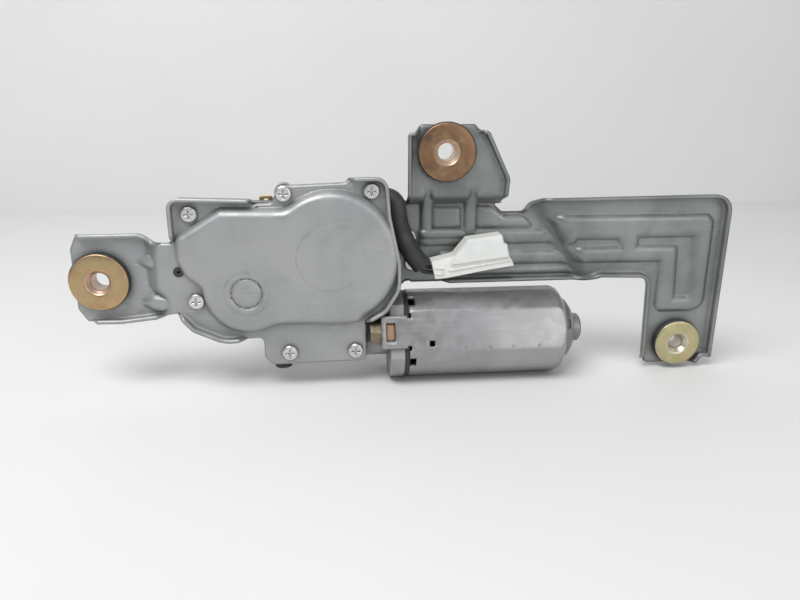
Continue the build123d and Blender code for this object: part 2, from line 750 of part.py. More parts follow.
def can_trim(flat):
    return motor_frame() * Pos(120, 0, 0) * Box(200, 80, 2 * flat)


def turned(points):
    """A revolved form about the motor axis, from (x, radius) points."""
    face = make_face(Polyline(*points, close=True))
    return Pos(0, motor_y, motor_z) * revolve(face, Axis.X)


def motor_can():
    """A deep-drawn can with two flats, a rounded shoulder and a tab with a nut window at each flat."""
    shoulder = [(can_start, 0), (can_start, can_r), (can_shoulder, can_r), (can_shoulder + 2.6, can_r - 1.1),
                (can_shoulder + 4.3, can_r - 3.4), (cap_start, cap_r), (cap_start, 0)]
    outer = turned(shoulder) & can_trim(can_flat)
    hollow = [(can_start - 1, 0), (can_start - 1, can_r - can_wall), (can_shoulder, can_r - can_wall),
              (can_shoulder + 2, can_r - can_wall - 1.4), (cap_start - 0.9, cap_r - 0.6),
              (cap_start - 0.9, 0)]
    can = outer - (turned(hollow) & can_trim(can_flat - can_wall))
    can -= along_x(cap_r - 3, 150, 170)
    for side in (1, -1):
        can += motor_frame() * Pos(0, 0, side * (can_flat - can_wall / 2)) * can_tab()
        for hand in (-1, 1):
            turn = hand * notch_turn + 90 * (1 - side)
            can -= motor_frame() * Rot(turn, 0, 0) * Pos(notch_x, 0, can_r) * Box(3.4, 5.4, 6)
            relief = Box(2, 2.4, 6)
            can -= motor_frame() * Pos(can_start, hand * tab_wide / 2, side * can_flat) * relief
        can -= motor_frame() * Pos(90.3, -6.2, side * can_flat) * Box(2.8, 2.8, 6)
        for x in punch_marks:
            can -= motor_frame() * Pos(x, -9.0, side * (can_flat + 0.2)) * Sphere(0.7)
    return can


def can_tab():
    length = can_start - ear_start + 1
    tab = Box(length, tab_wide, can_wall, align=(Align.MIN, Align.CENTER, Align.CENTER))
    tab = fillet(tab.edges().filter_by(Axis.Z).group_by(Axis.X)[0], 1.2)
    window = Box(nut_high + 0.4, nut_wide + 1.6, 9, align=(Align.MIN, Align.CENTER, Align.CENTER))
    return Pos(ear_start, 0, 0) * (tab - Pos(ear_thick - 0.2, 0, 0) * window)


def end_cap():
    """The domed end plate, with the boss that holds the rear bearing."""
    dome = [(cap_start, 0), (cap_start, cap_r - 0.4), (cap_start + 3.4, cap_r - 1.6),
            (cap_start + 5.6, 12.4), (cap_start + 6, cap_boss_r), (cap_end - 0.8, cap_boss_r),
            (cap_end, cap_boss_r - 0.8), (cap_end, 0)]
    inner = [(cap_start - 1, 0), (cap_start - 1, cap_r - 3), (cap_start + 2.2, cap_r - 3.4),
             (cap_start + 4.2, 11), (cap_start + 4.2, boss_inner_r), (cap_end - 1.4, boss_inner_r),
             (cap_end - 1.4, 0)]
    cap = turned(dome) - turned(inner)
    notch = motor_frame() * Pos(cap_start + 1.2, 1.5, cap_r) * Box(4, 5, 6)
    return cap - notch


def brush_card():
    """The moulded plate between the casting and the can, with two brush guides."""
    plate = along_x(can_r - 0.4, card_start, can_start) & can_trim(can_flat - can_wall - 0.1)
    plate -= along_x(commutator_r + 2.5, 0, 200)
    for side in (1, -1):
        guide = Box(12.4, 7.4, guide_high - guide_low, align=(Align.MIN, Align.CENTER, Align.MIN))
        guide = Rot(90 * side, 0, 0) * Pos(can_start, 0, guide_low) * guide
        guide -= Rot(90 * side, 0, 0) * Pos(brush_x, 0, commutator_r + 6) * Box(7.2, 5.4, 30)
        plate += motor_frame() * guide
    return plate


def carbon_brushes():
    brushes = []
    for side in (1, -1):
        bar = Box(7.0, 5.2, 6.5, align=bar_align)
        brushes.append(motor_frame() * Rot(90 * side, 0, 0) * Pos(brush_x, 0, commutator_r - 0.4) * bar)
    return Part() + [brush - along_x(commutator_r + run_fit, 0, 200) for brush in brushes]


def brush_springs():
    """A short coil behind each brush, held by the can's wall."""
    coils = []
    low = commutator_r + 6.1
    tall = can_r - can_wall - low - 0.8
    for side in (1, -1):
        section = Plane(origin=(1.9, 0, 0), x_dir=(1, 0, 0), z_dir=(0, 1, 0)) * Circle(0.35)
        coil = sweep(section, Helix(tall / 3, tall, 1.9), is_frenet=True)
        coils.append(motor_frame() * Rot(90 * side, 0, 0) * Pos(brush_x, 0, low + 0.4) * coil)
    return Part() + coils


def armature_core():
    """The stack of slotted plates."""
    core = tube_x(armature_r, journal_r, core_start, core_end)
    for i in range(slots):
        core -= slot_bar(i, 3.4, 5.4, armature_r - 1.6, 0) + slot_bar(i, 1.4, 8, armature_r + 1, 0)
    return core


def slot_bar(i, wide, low, high, extra):
    bar = Box(core_end - core_start + extra, wide, high - low, align=bar_align)
    middle = (core_start + core_end) / 2
    return Pos(middle, motor_y, motor_z) * Rot(360 / slots * i, 0, 0) * Pos(0, 0, low) * bar


def armature_windings():
    """The wire in the slots and the end turns at both ends."""
    coil = tube_x(armature_r - 1.8, journal_r + 0.6, core_end, core_end + 7)
    coil += tube_x(armature_r - 1.8, journal_r + 0.6, core_start - 2.4, core_start)
    for i in range(slots):
        coil += slot_bar(i, 3.2, 5.6, armature_r - 1.9, 2)
    return coil


def commutator():
    bars = tube_x(commutator_r, journal_r, 80.5, 92.4) + tube_x(commutator_r + 0.9, journal_r, 92.4, 94.2)
    for i in range(slots):
        cut = Pos(86, 0, commutator_r) * Box(13, 0.6, 1.2)
        bars -= Pos(0, motor_y, motor_z) * Rot(360 / slots * (i + 0.5), 0, 0) * cut
    return bars


def magnets():
    """Two arcs on the can's round sides."""
    tube = tube_x(can_r - can_wall, can_r - can_wall - magnet_thick, core_start, core_end)
    arcs = tube & can_trim(can_flat - can_wall - 0.8)
    middle = motor_frame() * Pos(120, 0, 0) * Box(200, 24, 80)
    return arcs - middle


def motor_bolts():
    bolts = []
    for side in (1, -1):
        head = extrude(RegularPolygon(bolt_head_r, 6, major_radius=False), bolt_head_high)
        head = fillet(head.edges().group_by(Axis.Z)[0], 0.5)
        shank = Cylinder(bolt_r, ear_thick + nut_high + 2.0, align=bar_align)
        bolt = head + Pos(0, 0, bolt_head_high - 0.1) * shank
        place = motor_frame() * Pos(ear_start - bolt_head_high, 0, side * bolt_out) * Rot(0, 90, 0)
        bolts.append(place * bolt)
    return Part() + bolts


def motor_nuts():
    nuts = []
    for side in (1, -1):
        nut = Box(nut_high, nut_wide, nut_wide, align=(Align.MIN, Align.CENTER, Align.CENTER))
        nut -= Rot(0, 90, 0) * Cylinder(bolt_r, 30)
        nuts.append(motor_frame() * Pos(ear_start + ear_thick, 0, side * bolt_out) * nut)
    return Part() + nuts


# ---------------------------------------------------------------- arm bracket
arm_points = [
    ((79.2, 74.2), 2), ((82.6, 74.4), 1), ((85.6, 77.9), 2), ((112.2, 77.9), 1.5), ((114.4, 75.3), 1.5),
    ((118.4, 75.1), 3), ((129.6, 52), 6), ((128.6, 39.2), 2), ((124, 38.2), 1), ((128.8, 33.7), 3),
    ((138.8, 33.8), 3), ((142, 38.8), 4), ((148, 41.8), 5), ((246.3, 42.6), 9), ((245.9, -46.6), 1),
    ((240.6, -45.6), 1.5), ((238, -49.8), 2), ((210.4, -49.8), 2), ((209, -47), 1), ((206.8, -47), 0.8),
    ((205.4, -0.4), 5), ((180, 0.5), 6), ((172, -2.4), 8), ((82, -2.6), 1.5), ((79.6, -1.2), 1.5),
    ((76.4, -4.6), 1), ((72.5, -4.6), 1), ((62, 27), 3), ((68, 39), 3), ((79.2, 39), 1)]
arm_outline = outline(arm_points)
arm_flanges = windows([(70, 41, 84, 75.4), (114.4, 41, 140, 75.4), (139, 33, 260, 60), (236, -60, 260, 60),
                       (196, -46.5, 210, 10), (100, -6, 210, 6)])


def arm_strip(y_side, rise):
    """The sheet's level: the ear stands forward of the arm, and so does the far part with the leg."""
    if y_side:
        return joggle(0, ear_step_y, 90, ear_step_run, arm_face, arm_front, arm_sheet, rise)
    return joggle(*side_step, side_step_heading, side_step_run, arm_face, arm_front, arm_sheet, rise)


def arm_areas():
    """The arm's outline, cut into the ear above its step and the rest."""
    ear = windows([(79, ear_step_y - 0.5, 132, 90)])
    return ear, windows([(50, -60, 79.1, 60), (79, -60, 132, ear_step_y), (131, -60, 260, 60)])


def arm_bracket():
    ear_area, arm_area = arm_areas()
    band = rim_band(arm_outline, arm_sheet) & arm_flanges
    low, high = arm_face - 10, arm_front + 10
    sheet = prism(arm_outline & ear_area, low, high) & arm_strip(True, 0)
    sheet += prism(arm_outline & arm_area, low, high) & arm_strip(False, 0)
    sheet += prism(band & ear_area, low, high) & arm_strip(True, arm_flange)
    sheet += prism(band & arm_area, low, high) & arm_strip(False, arm_flange)
    for name in ("top", "right"):
        sheet -= disc(*bush_spots[name], sheet_hole(name), 0, 100)
    sheet -= disc(wheel_x, wheel_y, chamber_r + wall + 0.5, 0, 100)
    for x, y in arm_screw_spots:
        sheet -= disc(x, y, screw_r + slip, 0, 100)
    sheet -= disc(*bush_spots["top"], washer_r["top"] + 0.7, arm_front, high)
    forms = arm_forms()
    inner = wall_shift(arm_sheet, arm_rib_taper)
    for points, level in forms:
        sheet += pressed(points, level, arm_rib, arm_rib_taper)
    for x in gusset_spots:
        sheet += ear_gusset(x, 0)
    for points, level in forms:
        sheet -= pressed(points, level - arm_sheet, arm_rib, arm_rib_taper, inner)
    for x in gusset_spots:
        sheet -= ear_gusset(x, arm_sheet)
    return sheet


def pressed(points, low, height, taper, shrink=0.0):
    """A form pressed up out of a sheet, from its corners."""
    face = make_face(Polyline(*points[::-1], close=True))
    if shrink:
        face = offset(face, -shrink, kind=Kind.INTERSECTION)
    return raised(face, low, height, taper)


def ear_gusset(x, shrink):
    """A rib pressed across the step below the arm's upper ear, pointed at its upper end."""
    wide, low = gusset_wide / 2 - shrink * 0.7, arm_face - shrink
    top = ear_step_y + ear_step_run + gusset_up - shrink * 1.4
    foot = ear_step_y - gusset_down + shrink
    base = make_face(Polyline((-wide, foot), (wide, foot), (wide, ear_step_y), (0.4, top), (-0.4, top),
                              (-wide, ear_step_y), close=True))
    rib = raised(base, low, arm_joggle + 0.3, 8)
    ridge = [(foot - 9, low), (foot, low), (foot + 3, low + arm_rib), (ear_step_y - 1, low + arm_rib + 0.4),
             (ear_step_y + 3, low + arm_joggle * 0.72), (top, low + arm_joggle + 0.25), (top + 9, low)]
    side = Plane.YZ * make_face(Polyline(*ridge, close=True))
    return Pos(x, 0, 0) * (rib & extrude(side, 20, both=True))


def arm_forms():
    """Pressed forms: pads and long ribs on the arm, and a broad L built of bars on the far part."""
    near = [[(92.4, 36.2), (106.6, 36.2), (106.6, 26.4), (92.4, 26.4)],
            [(114.4, 36.2), (124, 36.2), (131.4, 31), (142, 31), (146, 26.4), (114.4, 26.4)],
            [(91, 23.6), (152.4, 23.6), (158.8, 15.6), (91, 15.6)],
            [(107, 12.2), (161.4, 12.2), (166.8, 5.2), (107, 5.2)]]
    far = [[(158, 32), (240, 31), (240, 24), (164, 24)],
           [(234.6, 31), (240, 31), (240.4, -19.6), (235, -19.6)],
           [(169.6, 14), (219, 14), (219, 7.8), (174, 8.6)],
           [(212, 14), (219.4, 14), (219.6, -19.6), (213.4, -19.6)],
           [(213.4, -13.6), (240.2, -13.6), (240.4, -19.6), (213.4, -19.6)],
           [(192.4, 31), (199, 31), (199, 8.4), (192.4, 8.4)]]
    return [(points, arm_face) for points in near] + [(points, arm_front) for points in far]


def arm_screw(x, y):
    head = disc(x, y, screw_head_r + 0.3, arm_face, arm_face + arm_screw_head)
    head = fillet(head.edges().group_by(Axis.Z)[-1], 0.9)
    return head + disc(x, y, screw_r, casting_back + 0.6, arm_face + 0.1)


def arm_screws():
    return Part() + [arm_screw(x, y) for x, y in arm_screw_spots]


# ---------------------------------------------------------------- bushes
def bush_levels(name):
    """The sheet's faces and the outer faces of both washers, from the front back."""
    front = bush_face[name]
    sheet = cover_sheet if name == "left" else arm_sheet
    return front + bush_stack + washer_thick, front, front - sheet, front - sheet - bush_back - washer_thick


def bush_sleeve(name):
    """The steel tube with its front washer, whose middle is rolled up round the bore."""
    x, y = bush_spots[name]
    top, _, _, bottom = bush_levels(name)
    bore, wide = bore_r[name], washer_r[name]
    tube = bore + tube_wall
    half = [(bore + 0.5, top), (tube + 0.7, top), (tube + 1.3, top - 0.35), (wide - 0.9, top - 0.6),
            (wide, top - 1.0), (wide, top - washer_thick), (tube, top - washer_thick), (tube, bottom),
            (bore, bottom), (bore, top - 0.4)]
    section = Plane.XZ * make_face(Polyline(*half, close=True))
    return Pos(x, y, 0) * revolve(section, Axis.Z)


def bush_rubber(name):
    """A grommet with a waist that grips the edge of the sheet's hole."""
    x, y = bush_spots[name]
    top, front, back, bottom = bush_levels(name)
    top, bottom = top - washer_thick, bottom + washer_thick
    tube, wide, waist = bore_r[name] + tube_wall, washer_r[name] + 0.4, sheet_hole(name)
    half = [(tube, top), (wide - 0.6, top), (wide, top - 0.8), (wide - 0.2, front), (waist, front),
            (waist, back), (wide - 1.6, back), (wide - 1.8, bottom + 0.8), (wide - 2.6, bottom),
            (tube, bottom)]
    section = Plane.XZ * make_face(Polyline(*half, close=True))
    return Pos(x, y, 0) * revolve(section, Axis.Z)


def bush_washer(name):
    x, y = bush_spots[name]
    bottom = bush_levels(name)[3]
    return ring(x, y, washer_r[name] - 1, bore_r[name] + tube_wall, bottom, bottom + washer_thick)


# ---------------------------------------------------------------- vent, drain and earth tab
def vent_plug():
    """A rubber plug with a fine hole, in the cover's vent."""
    plug = disc(*vent_at, vent_r, cover_back, cover_face + 0.3)
    plug += disc(*vent_at, vent_r + 0.5, cover_face, cover_face + 0.4)
    return plug - disc(*vent_at, 0.7, cover_back - 1, cover_face + 1)


def drain_nozzle():
    """A rubber spout under the worm housing, cut off at a slant."""
    x, y = drain_at
    spout = drain_place() * Cylinder(drain_r, 5)
    spout += Pos(x, y, motor_z) * Rot(90, 0, 0) * Cylinder(4.4, 7.6, align=bar_align)
    mouth = Pos(x, y - 3, motor_z) * Rot(90, 0, 0) * Cylinder(2.2, 8, align=bar_align)
    return spout - mouth


def earth_tab():
    """A brass blade with a hole, riveted to the casting's flange behind the cover's top edge."""
    blade = plain([(-3.2, -4), (3.2, -4), (3.2, 6.6), (-3.2, 6.6)], 1.2)
    tab = Pos(earth_at[0], earth_at[1], 0) * prism(blade, pocket_back - 0.8, pocket_back)
    return tab - disc(earth_at[0], earth_at[1] + 4.2, 1.2, 0, 100)


def earth_rivet():
    head = disc(earth_at[0], earth_at[1] - 1.2, 2.2, pocket_back - 1.8, pocket_back - 0.8)
    return fillet(head.edges().group_by(Axis.Z)[0], 0.6)


# ---------------------------------------------------------------- lead and connector


def route_radii(points):
    """An arc for each corner: 0.45 of the shorter run, divided by the tangent of half the turn."""
    radii = []
    for a, b, c in zip(points, points[1:], points[2:]):
        run_in, run_out = Vector(*b) - Vector(*a), Vector(*c) - Vector(*b)
        turn = radians(run_in.get_angle(run_out))
        radii.append(0.45 * min(run_in.length, run_out.length) / tan(turn / 2))
    return radii


def wire_grommet():
    """The rubber collar in the casting's outlet that the lead comes out of."""
    plug = Pos(0, 0, -grommet_deep) * Cylinder(grommet_waist, grommet_deep, align=bar_align)
    plug += Cylinder(grommet_waist + 0.6, 1.8, align=bar_align)
    return grommet_place() * (plug - Cylinder(sleeve_r + run_fit, 40))


def wire_sleeve():
    points = [lead_start] + lead_route
    radii = route_radii(points)
    path = FilletPolyline(*points, radius=radii)
    print("lead: radii", [round(r, 1) for r in radii], "length", round(path.length, 1))
    section = Plane(origin=points[0], z_dir=path % 0) * Circle(sleeve_r)
    tube = sweep(section, path)
    print("lead: volume over section times length", round(tube.volume / (pi * sleeve_r**2 * path.length), 4))
    return tube


def connector_place(x, y, z=0):
    return Pos(*connector_at, 0) * Rot(0, 0, connector_turn) * Pos(x, y, connector_low + z)


def connector_housing():
    """A moulded socket: narrow at the wires, wider round the contacts, open at the far end."""
    low, high = connector_low, connector_low + connector_thick
    narrow = Box(17, 10.6, connector_thick - 1, align=(Align.MIN,) * 3)
    long = connector_length
    wide = outline([((12.6, 0), 0.6), ((12.6, 11), 0.6), ((17.4, 16.6), 1), ((long, 16.6), 1), ((long, 0), 0.6)])
    shell = connector_place(0, 0) * (narrow + prism(wide, 0, connector_thick))
    shell -= connector_place(19, 1.6, 1.6) * Box(30, 13.4, connector_thick - 3.2, align=(Align.MIN,) * 3)
    hole = Rot(0, 90, 0) * Cylinder(wire_r + 0.8, 20, align=bar_align)
    for y in wire_rows:
        shell -= connector_place(-1, y, wire_level) * hole
    for blade in blade_spots:
        shell -= connector_place(*blade) * Box(*blade_size, align=(Align.MIN,) * 3)
    latch = Box(11, 5, 1.4, align=(Align.MIN,) * 3)
    return shell + connector_place(22, 5.6, connector_thick) * latch


def connector_terminals():
    blade = Box(*blade_size, align=(Align.MIN,) * 3)
    return Part() + [connector_place(*spot) * blade for spot in blade_spots]


def connector_clip():
    """The moulded foot that hooks the socket to the arm."""
    foot = connector_place(2.4, 2.2, -2.6) * Box(9, 6, 2.6, align=(Align.MIN,) * 3)
    loop = Pos(0, 0, -1.3) * Cylinder(2.2, 2.6) - Pos(0, 0, -1.3) * Cylinder(1.1, 5)
    return foot + connector_place(6.9, 0.6) * loop


def lead_wires():
    """Two thin wires from the sleeve's end into the socket."""
    end, back = Vector(*lead_route[-1]), Vector(*lead_route[-2])
    heading = (end - back).normalized()
    side = Vector(-heading.Y, heading.X, 0)
    wires = []
    for row, away in zip(wire_rows, (-1.5, 1.5)):
        into = Vector(*(connector_place(0, row, wire_level)).position)
        inner = Vector(*(connector_place(6, row, wire_level)).position)
        start = end + side * away
        points = [start, start + heading * 2.4, into, inner]
        path = FilletPolyline(*points, radius=route_radii(points))
        wires.append(sweep(Plane(origin=start, z_dir=path % 0) * Circle(wire_r), path))
    return Part() + wires


# ---------------------------------------------------------------- all nodes
def cover_screws():
    return Part() + [cover_screw(x, y) for x, y in screw_spots]


def all_nodes():
    nodes = {
        "cover_plate": cover_plate, "cover_gasket": cover_gasket, "gear_housing": gear_housing,
        "cover_screws": cover_screws, "vent_plug": vent_plug, "drain_nozzle": drain_nozzle,
        "earth_tab": earth_tab, "earth_rivet": earth_rivet, "arm_bracket": arm_bracket,
        "arm_screws": arm_screws, "wire_grommet": wire_grommet, "wire_sleeve": wire_sleeve,
        "lead_wires": lead_wires, "connector_housing": connector_housing,
        "connector_terminals": connector_terminals, "connector_clip": connector_clip,
        "motor_can": motor_can, "end_cap": end_cap, "magnets": magnets, "brush_card": brush_card,
        "carbon_brushes": carbon_brushes, "brush_springs": brush_springs, "motor_bolts": motor_bolts,
        "motor_nuts": motor_nuts, "front_bearing": front_bearing, "rear_bearing": rear_bearing,
        "nose_bush": nose_bush, "thrust_pad": thrust_pad, "armature_shaft": armature_shaft,
        "armature_core": armature_core, "armature_windings": armature_windings, "commutator": commutator,
        "worm_wheel": worm_wheel, "park_contact_ring": park_contact_ring, "wheel_axle": wheel_axle,
        "wheel_washers": wheel_washers, "park_switch_plate": park_switch_plate,
        "park_switch_contacts": park_switch_contacts, "output_shaft": output_shaft,
        "output_pinion": output_pinion, "link_plate": link_plate, "sector_gear": sector_gear,
        "pivot_pin": pivot_pin, "crank_pin": crank_pin, "shaft_circlip": shaft_circlip,
        "shaft_seal": shaft_seal,
        "front_shaft_bush": lambda: shaft_bush(shaft_floor - bush_length),
        "rear_shaft_bush": lambda: shaft_bush(boss_tip),
        "pinion_washer": lambda: shaft_washer(shaft_floor, gear_bottom - 0.1),
        "clip_washer": lambda: shaft_washer(circlip_at + 1.05, boss_tip - 0.1),
    }
    for name in bush_spots:
        nodes["bush_sleeve_" + name] = lambda name=name: bush_sleeve(name)
        nodes["bush_rubber_" + name] = lambda name=name: bush_rubber(name)
        nodes["bush_washer_" + name] = lambda name=name: bush_washer(name)
    return nodes


os.makedirs("parts", exist_ok=True)
for node, make in all_nodes().items():
    export_step(Rot(90, 0, 0) * make(), "parts/" + node + ".step")
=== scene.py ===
"""Looks for the rear wiper motor: procedural materials, trim pieces, floor, light and camera."""
import math
import bmesh
import bpy
from mathutils import Matrix, Vector
from mathutils.geometry import delaunay_2d_cdt
from mathutils.kdtree import KDTree


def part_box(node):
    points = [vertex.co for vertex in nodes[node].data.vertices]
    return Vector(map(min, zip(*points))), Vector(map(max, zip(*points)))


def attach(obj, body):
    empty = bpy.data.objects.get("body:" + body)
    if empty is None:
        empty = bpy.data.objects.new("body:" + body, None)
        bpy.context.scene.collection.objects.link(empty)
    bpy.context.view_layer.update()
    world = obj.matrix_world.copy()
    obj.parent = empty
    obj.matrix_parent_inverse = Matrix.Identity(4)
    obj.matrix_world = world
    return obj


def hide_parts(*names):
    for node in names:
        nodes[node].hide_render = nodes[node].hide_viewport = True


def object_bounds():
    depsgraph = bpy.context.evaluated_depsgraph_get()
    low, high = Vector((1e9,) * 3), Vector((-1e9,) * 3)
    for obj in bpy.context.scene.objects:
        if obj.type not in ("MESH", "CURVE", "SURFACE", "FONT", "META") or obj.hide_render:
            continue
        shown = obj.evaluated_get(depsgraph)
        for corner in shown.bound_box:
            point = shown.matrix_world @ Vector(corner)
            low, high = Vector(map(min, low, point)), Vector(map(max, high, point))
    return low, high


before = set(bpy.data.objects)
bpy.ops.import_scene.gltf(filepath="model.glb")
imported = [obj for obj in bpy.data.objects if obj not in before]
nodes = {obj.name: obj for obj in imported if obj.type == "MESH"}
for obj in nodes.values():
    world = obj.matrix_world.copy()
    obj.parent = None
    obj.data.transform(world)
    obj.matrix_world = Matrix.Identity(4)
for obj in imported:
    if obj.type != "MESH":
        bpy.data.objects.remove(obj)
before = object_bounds()
MM = 0.001
PER_MM = 1000               # millimetres in a metre, for textures laid out in millimetres
SAMPLES = 6                 # rays of the bevel and the hollow test in a material


def put_in_scene(name, data):
    """A new object with this data, in the scene."""
    obj = bpy.data.objects.new(name, data)
    bpy.context.scene.collection.objects.link(obj)
    return obj


def made_from(bm, name, mat, smooth_faces=True):
    """A new object with the faces of bm and one material."""
    mesh = bpy.data.meshes.new(name)
    bm.to_mesh(mesh)
    bm.free()
    mesh.materials.append(mat)
    if smooth_faces:
        mesh.shade_smooth()
    return put_in_scene(name, mesh)


def stand_in(piece, node):
    """Shows the piece in place of a node of the housing."""
    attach(piece, "housing")
    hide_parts(node)


def own_material(node):
    return nodes[node].data.materials[0]


def lighter(colour, factor):
    """A colour times a factor, and never above white."""
    return tuple(min(1.0, c * factor) for c in colour)


def scaled(colour, factor):
    """A colour times a factor."""
    return tuple(c * factor for c in colour)


# ---------------------------------------------------------------- material helpers
class Graph:
    """A short way to write one material's nodes."""

    def __init__(self, name):
        self.mat = bpy.data.materials.new(name)
        self.mat.use_nodes = True
        self.tree = self.mat.node_tree
        self.tree.nodes.clear()
        self.out = self.add("ShaderNodeOutputMaterial")
        self.bsdf = self.add("ShaderNodeBsdfPrincipled")
        self.link(self.bsdf.outputs[0], self.out.inputs[0])
        coord = self.add("ShaderNodeTexCoord")
        scale = self.add("ShaderNodeMapping")
        scale.inputs["Scale"].default_value = (PER_MM, PER_MM, PER_MM)
        self.link(coord.outputs["Object"], scale.inputs["Vector"])
        self.place = scale.outputs[0]       # the object's own coordinates, in millimetres

    def add(self, kind, **values):
        node = self.tree.nodes.new(kind)
        for key, value in values.items():
            setattr(node, key, value)
        return node

    def link(self, a, b):
        self.tree.links.new(a, b)

    def put(self, value, socket):
        """Links a socket's value, or sets a plain one."""
        if hasattr(value, "is_output"):
            self.link(value, socket)
        else:
            socket.default_value = value

    def moved(self, scale=(1, 1, 1), turn=(0, 0, 0), shift=(0, 0, 0)):
        """The object's coordinates, scaled, turned and shifted."""
        node = self.add("ShaderNodeMapping")
        node.inputs["Scale"].default_value = scale
        node.inputs["Rotation"].default_value = turn
        node.inputs["Location"].default_value = shift
        self.link(self.place, node.inputs["Vector"])
        return node.outputs[0]

    def noise(self, scale, detail=4.0, rough=0.55, place=None, distortion=0.0):
        node = self.add("ShaderNodeTexNoise")
        self.link(place or self.place, node.inputs["Vector"])
        node.inputs["Scale"].default_value = scale
        node.inputs["Detail"].default_value = detail
        node.inputs["Roughness"].default_value = rough
        node.inputs["Distortion"].default_value = distortion
        return node.outputs["Fac"]

    def ramp(self, fac, low, high, a=0.0, b=1.0):
        """A soft passage from a, where fac is low, to b, where it is high."""
        node = self.add("ShaderNodeMapRange")
        node.interpolation_type = "SMOOTHSTEP"
        self.put(fac, node.inputs["Value"])
        node.inputs["From Min"].default_value = low
        node.inputs["From Max"].default_value = high
        node.inputs["To Min"].default_value = a
        node.inputs["To Max"].default_value = b
        return node.outputs[0]

    def math(self, op, a, b=0.0):
        node = self.add("ShaderNodeMath", operation=op)
        self.put(a, node.inputs[0])
        self.put(b, node.inputs[1])
        return node.outputs[0]

    def times(self, a, b):
        return self.math("MULTIPLY", a, b)

    def mix(self, fac, a, b):
        """Colours mixed from a to b."""
        node = self.add("ShaderNodeMix", data_type="RGBA")
        self.put(fac, node.inputs[0])
        for value, socket in ((a, node.inputs[6]), (b, node.inputs[7])):
            if isinstance(value, (tuple, list)):
                value = (*value, 1.0)[:4]
            self.put(value, socket)
        return node.outputs[2]

    def blend(self, fac, a, b):
        """Numbers mixed from a to b."""
        node = self.add("ShaderNodeMix", data_type="FLOAT")
        self.put(fac, node.inputs[0])
        self.put(a, node.inputs[2])
        self.put(b, node.inputs[3])
        return node.outputs[0]

    def edges(self, radius):
        """1 along sharp edges, 0 on open faces, and the normal rounded over those edges."""
        bevel = self.add("ShaderNodeBevel", samples=SAMPLES)
        bevel.inputs["Radius"].default_value = radius * MM
        geometry = self.add("ShaderNodeNewGeometry")
        dot = self.add("ShaderNodeVectorMath", operation="DOT_PRODUCT")
        self.link(bevel.outputs[0], dot.inputs[0])
        self.link(geometry.outputs["Normal"], dot.inputs[1])
        return self.ramp(dot.outputs["Value"], 0.995, 0.85), bevel.outputs[0]

    def hollow(self, distance):
        """1 deep in corners and recesses, 0 in the open."""
        node = self.add("ShaderNodeAmbientOcclusion", samples=SAMPLES)
        node.inputs["Distance"].default_value = distance * MM
        return self.ramp(node.outputs["AO"], 0.95, 0.45)

    def bump(self, height, strength, distance, normal=None):
        node = self.add("ShaderNodeBump")
        node.inputs["Strength"].default_value = strength
        node.inputs["Distance"].default_value = distance * MM
        self.link(height, node.inputs["Height"])
        if normal is not None:
            self.link(normal, node.inputs["Normal"])
        return node.outputs[0]

    def finish(self, colour, rough, normal=None, metallic=0.0, **sockets):
        """Fills the shader's sockets and returns the material."""
        self.put(colour if hasattr(colour, "is_output") else (*colour, 1.0)[:4], self.bsdf.inputs["Base Color"])
        self.put(rough, self.bsdf.inputs["Roughness"])
        self.put(metallic, self.bsdf.inputs["Metallic"])
        if normal is not None:
            self.link(normal, self.bsdf.inputs["Normal"])
        for name, value in sockets.items():
            self.bsdf.inputs[name.replace("_", " ")].default_value = value
        return self.mat


SCUFF_ANGLES = (0.25, 1.45, 2.3)
SCUFF_HALF = 0.02           # half a scuff's width, as a step of its noise


def scratches(g, seed):
    """Fine straight scuffs in three directions, as a 0 to 1 mask."""
    total = None
    for i, angle in enumerate(SCUFF_ANGLES):
        place = g.moved(scale=(0.012, 1, 1), turn=(0, angle + seed * 0.37, 0), shift=(seed * 13.0 + i * 31, 0, 0))
        streak = g.noise(0.8, 1.0, 0.4, place)
        line = g.ramp(streak, 0.5 + SCUFF_HALF, 0.5, 0, 1)
        line = g.times(line, g.ramp(streak, 0.5 - SCUFF_HALF, 0.5, 0, 1))
        where = g.ramp(g.noise(0.056, 2.0, 0.5, g.moved(shift=(i * 57 + seed * 7, 0, 0))), 0.57, 0.68)
        line = g.times(line, where)
        total = line if total is None else g.math("MAXIMUM", total, line)
    return total


def painted_arc_shade(g, shade_arcs):
    """Painted shade along shallow embossed rings at (x, z, radius, width) in millimetres, as a 0 to 1 mask."""
    split = g.add("ShaderNodeSeparateXYZ")
    g.link(g.place, split.inputs[0])
    total = None
    for x, z, radius, width in shade_arcs:
        dx, dz = g.math("SUBTRACT", split.outputs[0], x), g.math("SUBTRACT", split.outputs[2], z)
        far = g.math("SQRT", g.math("ADD", g.times(dx, dx), g.times(dz, dz)))
        line = g.ramp(g.math("ABSOLUTE", g.math("SUBTRACT", far, radius)), width, width * 0.2)
        total = line if total is None else g.math("MAXIMUM", total, line)
    return g.times(total, g.ramp(g.noise(0.06, 2.0, 0.5), 0.38, 0.58))


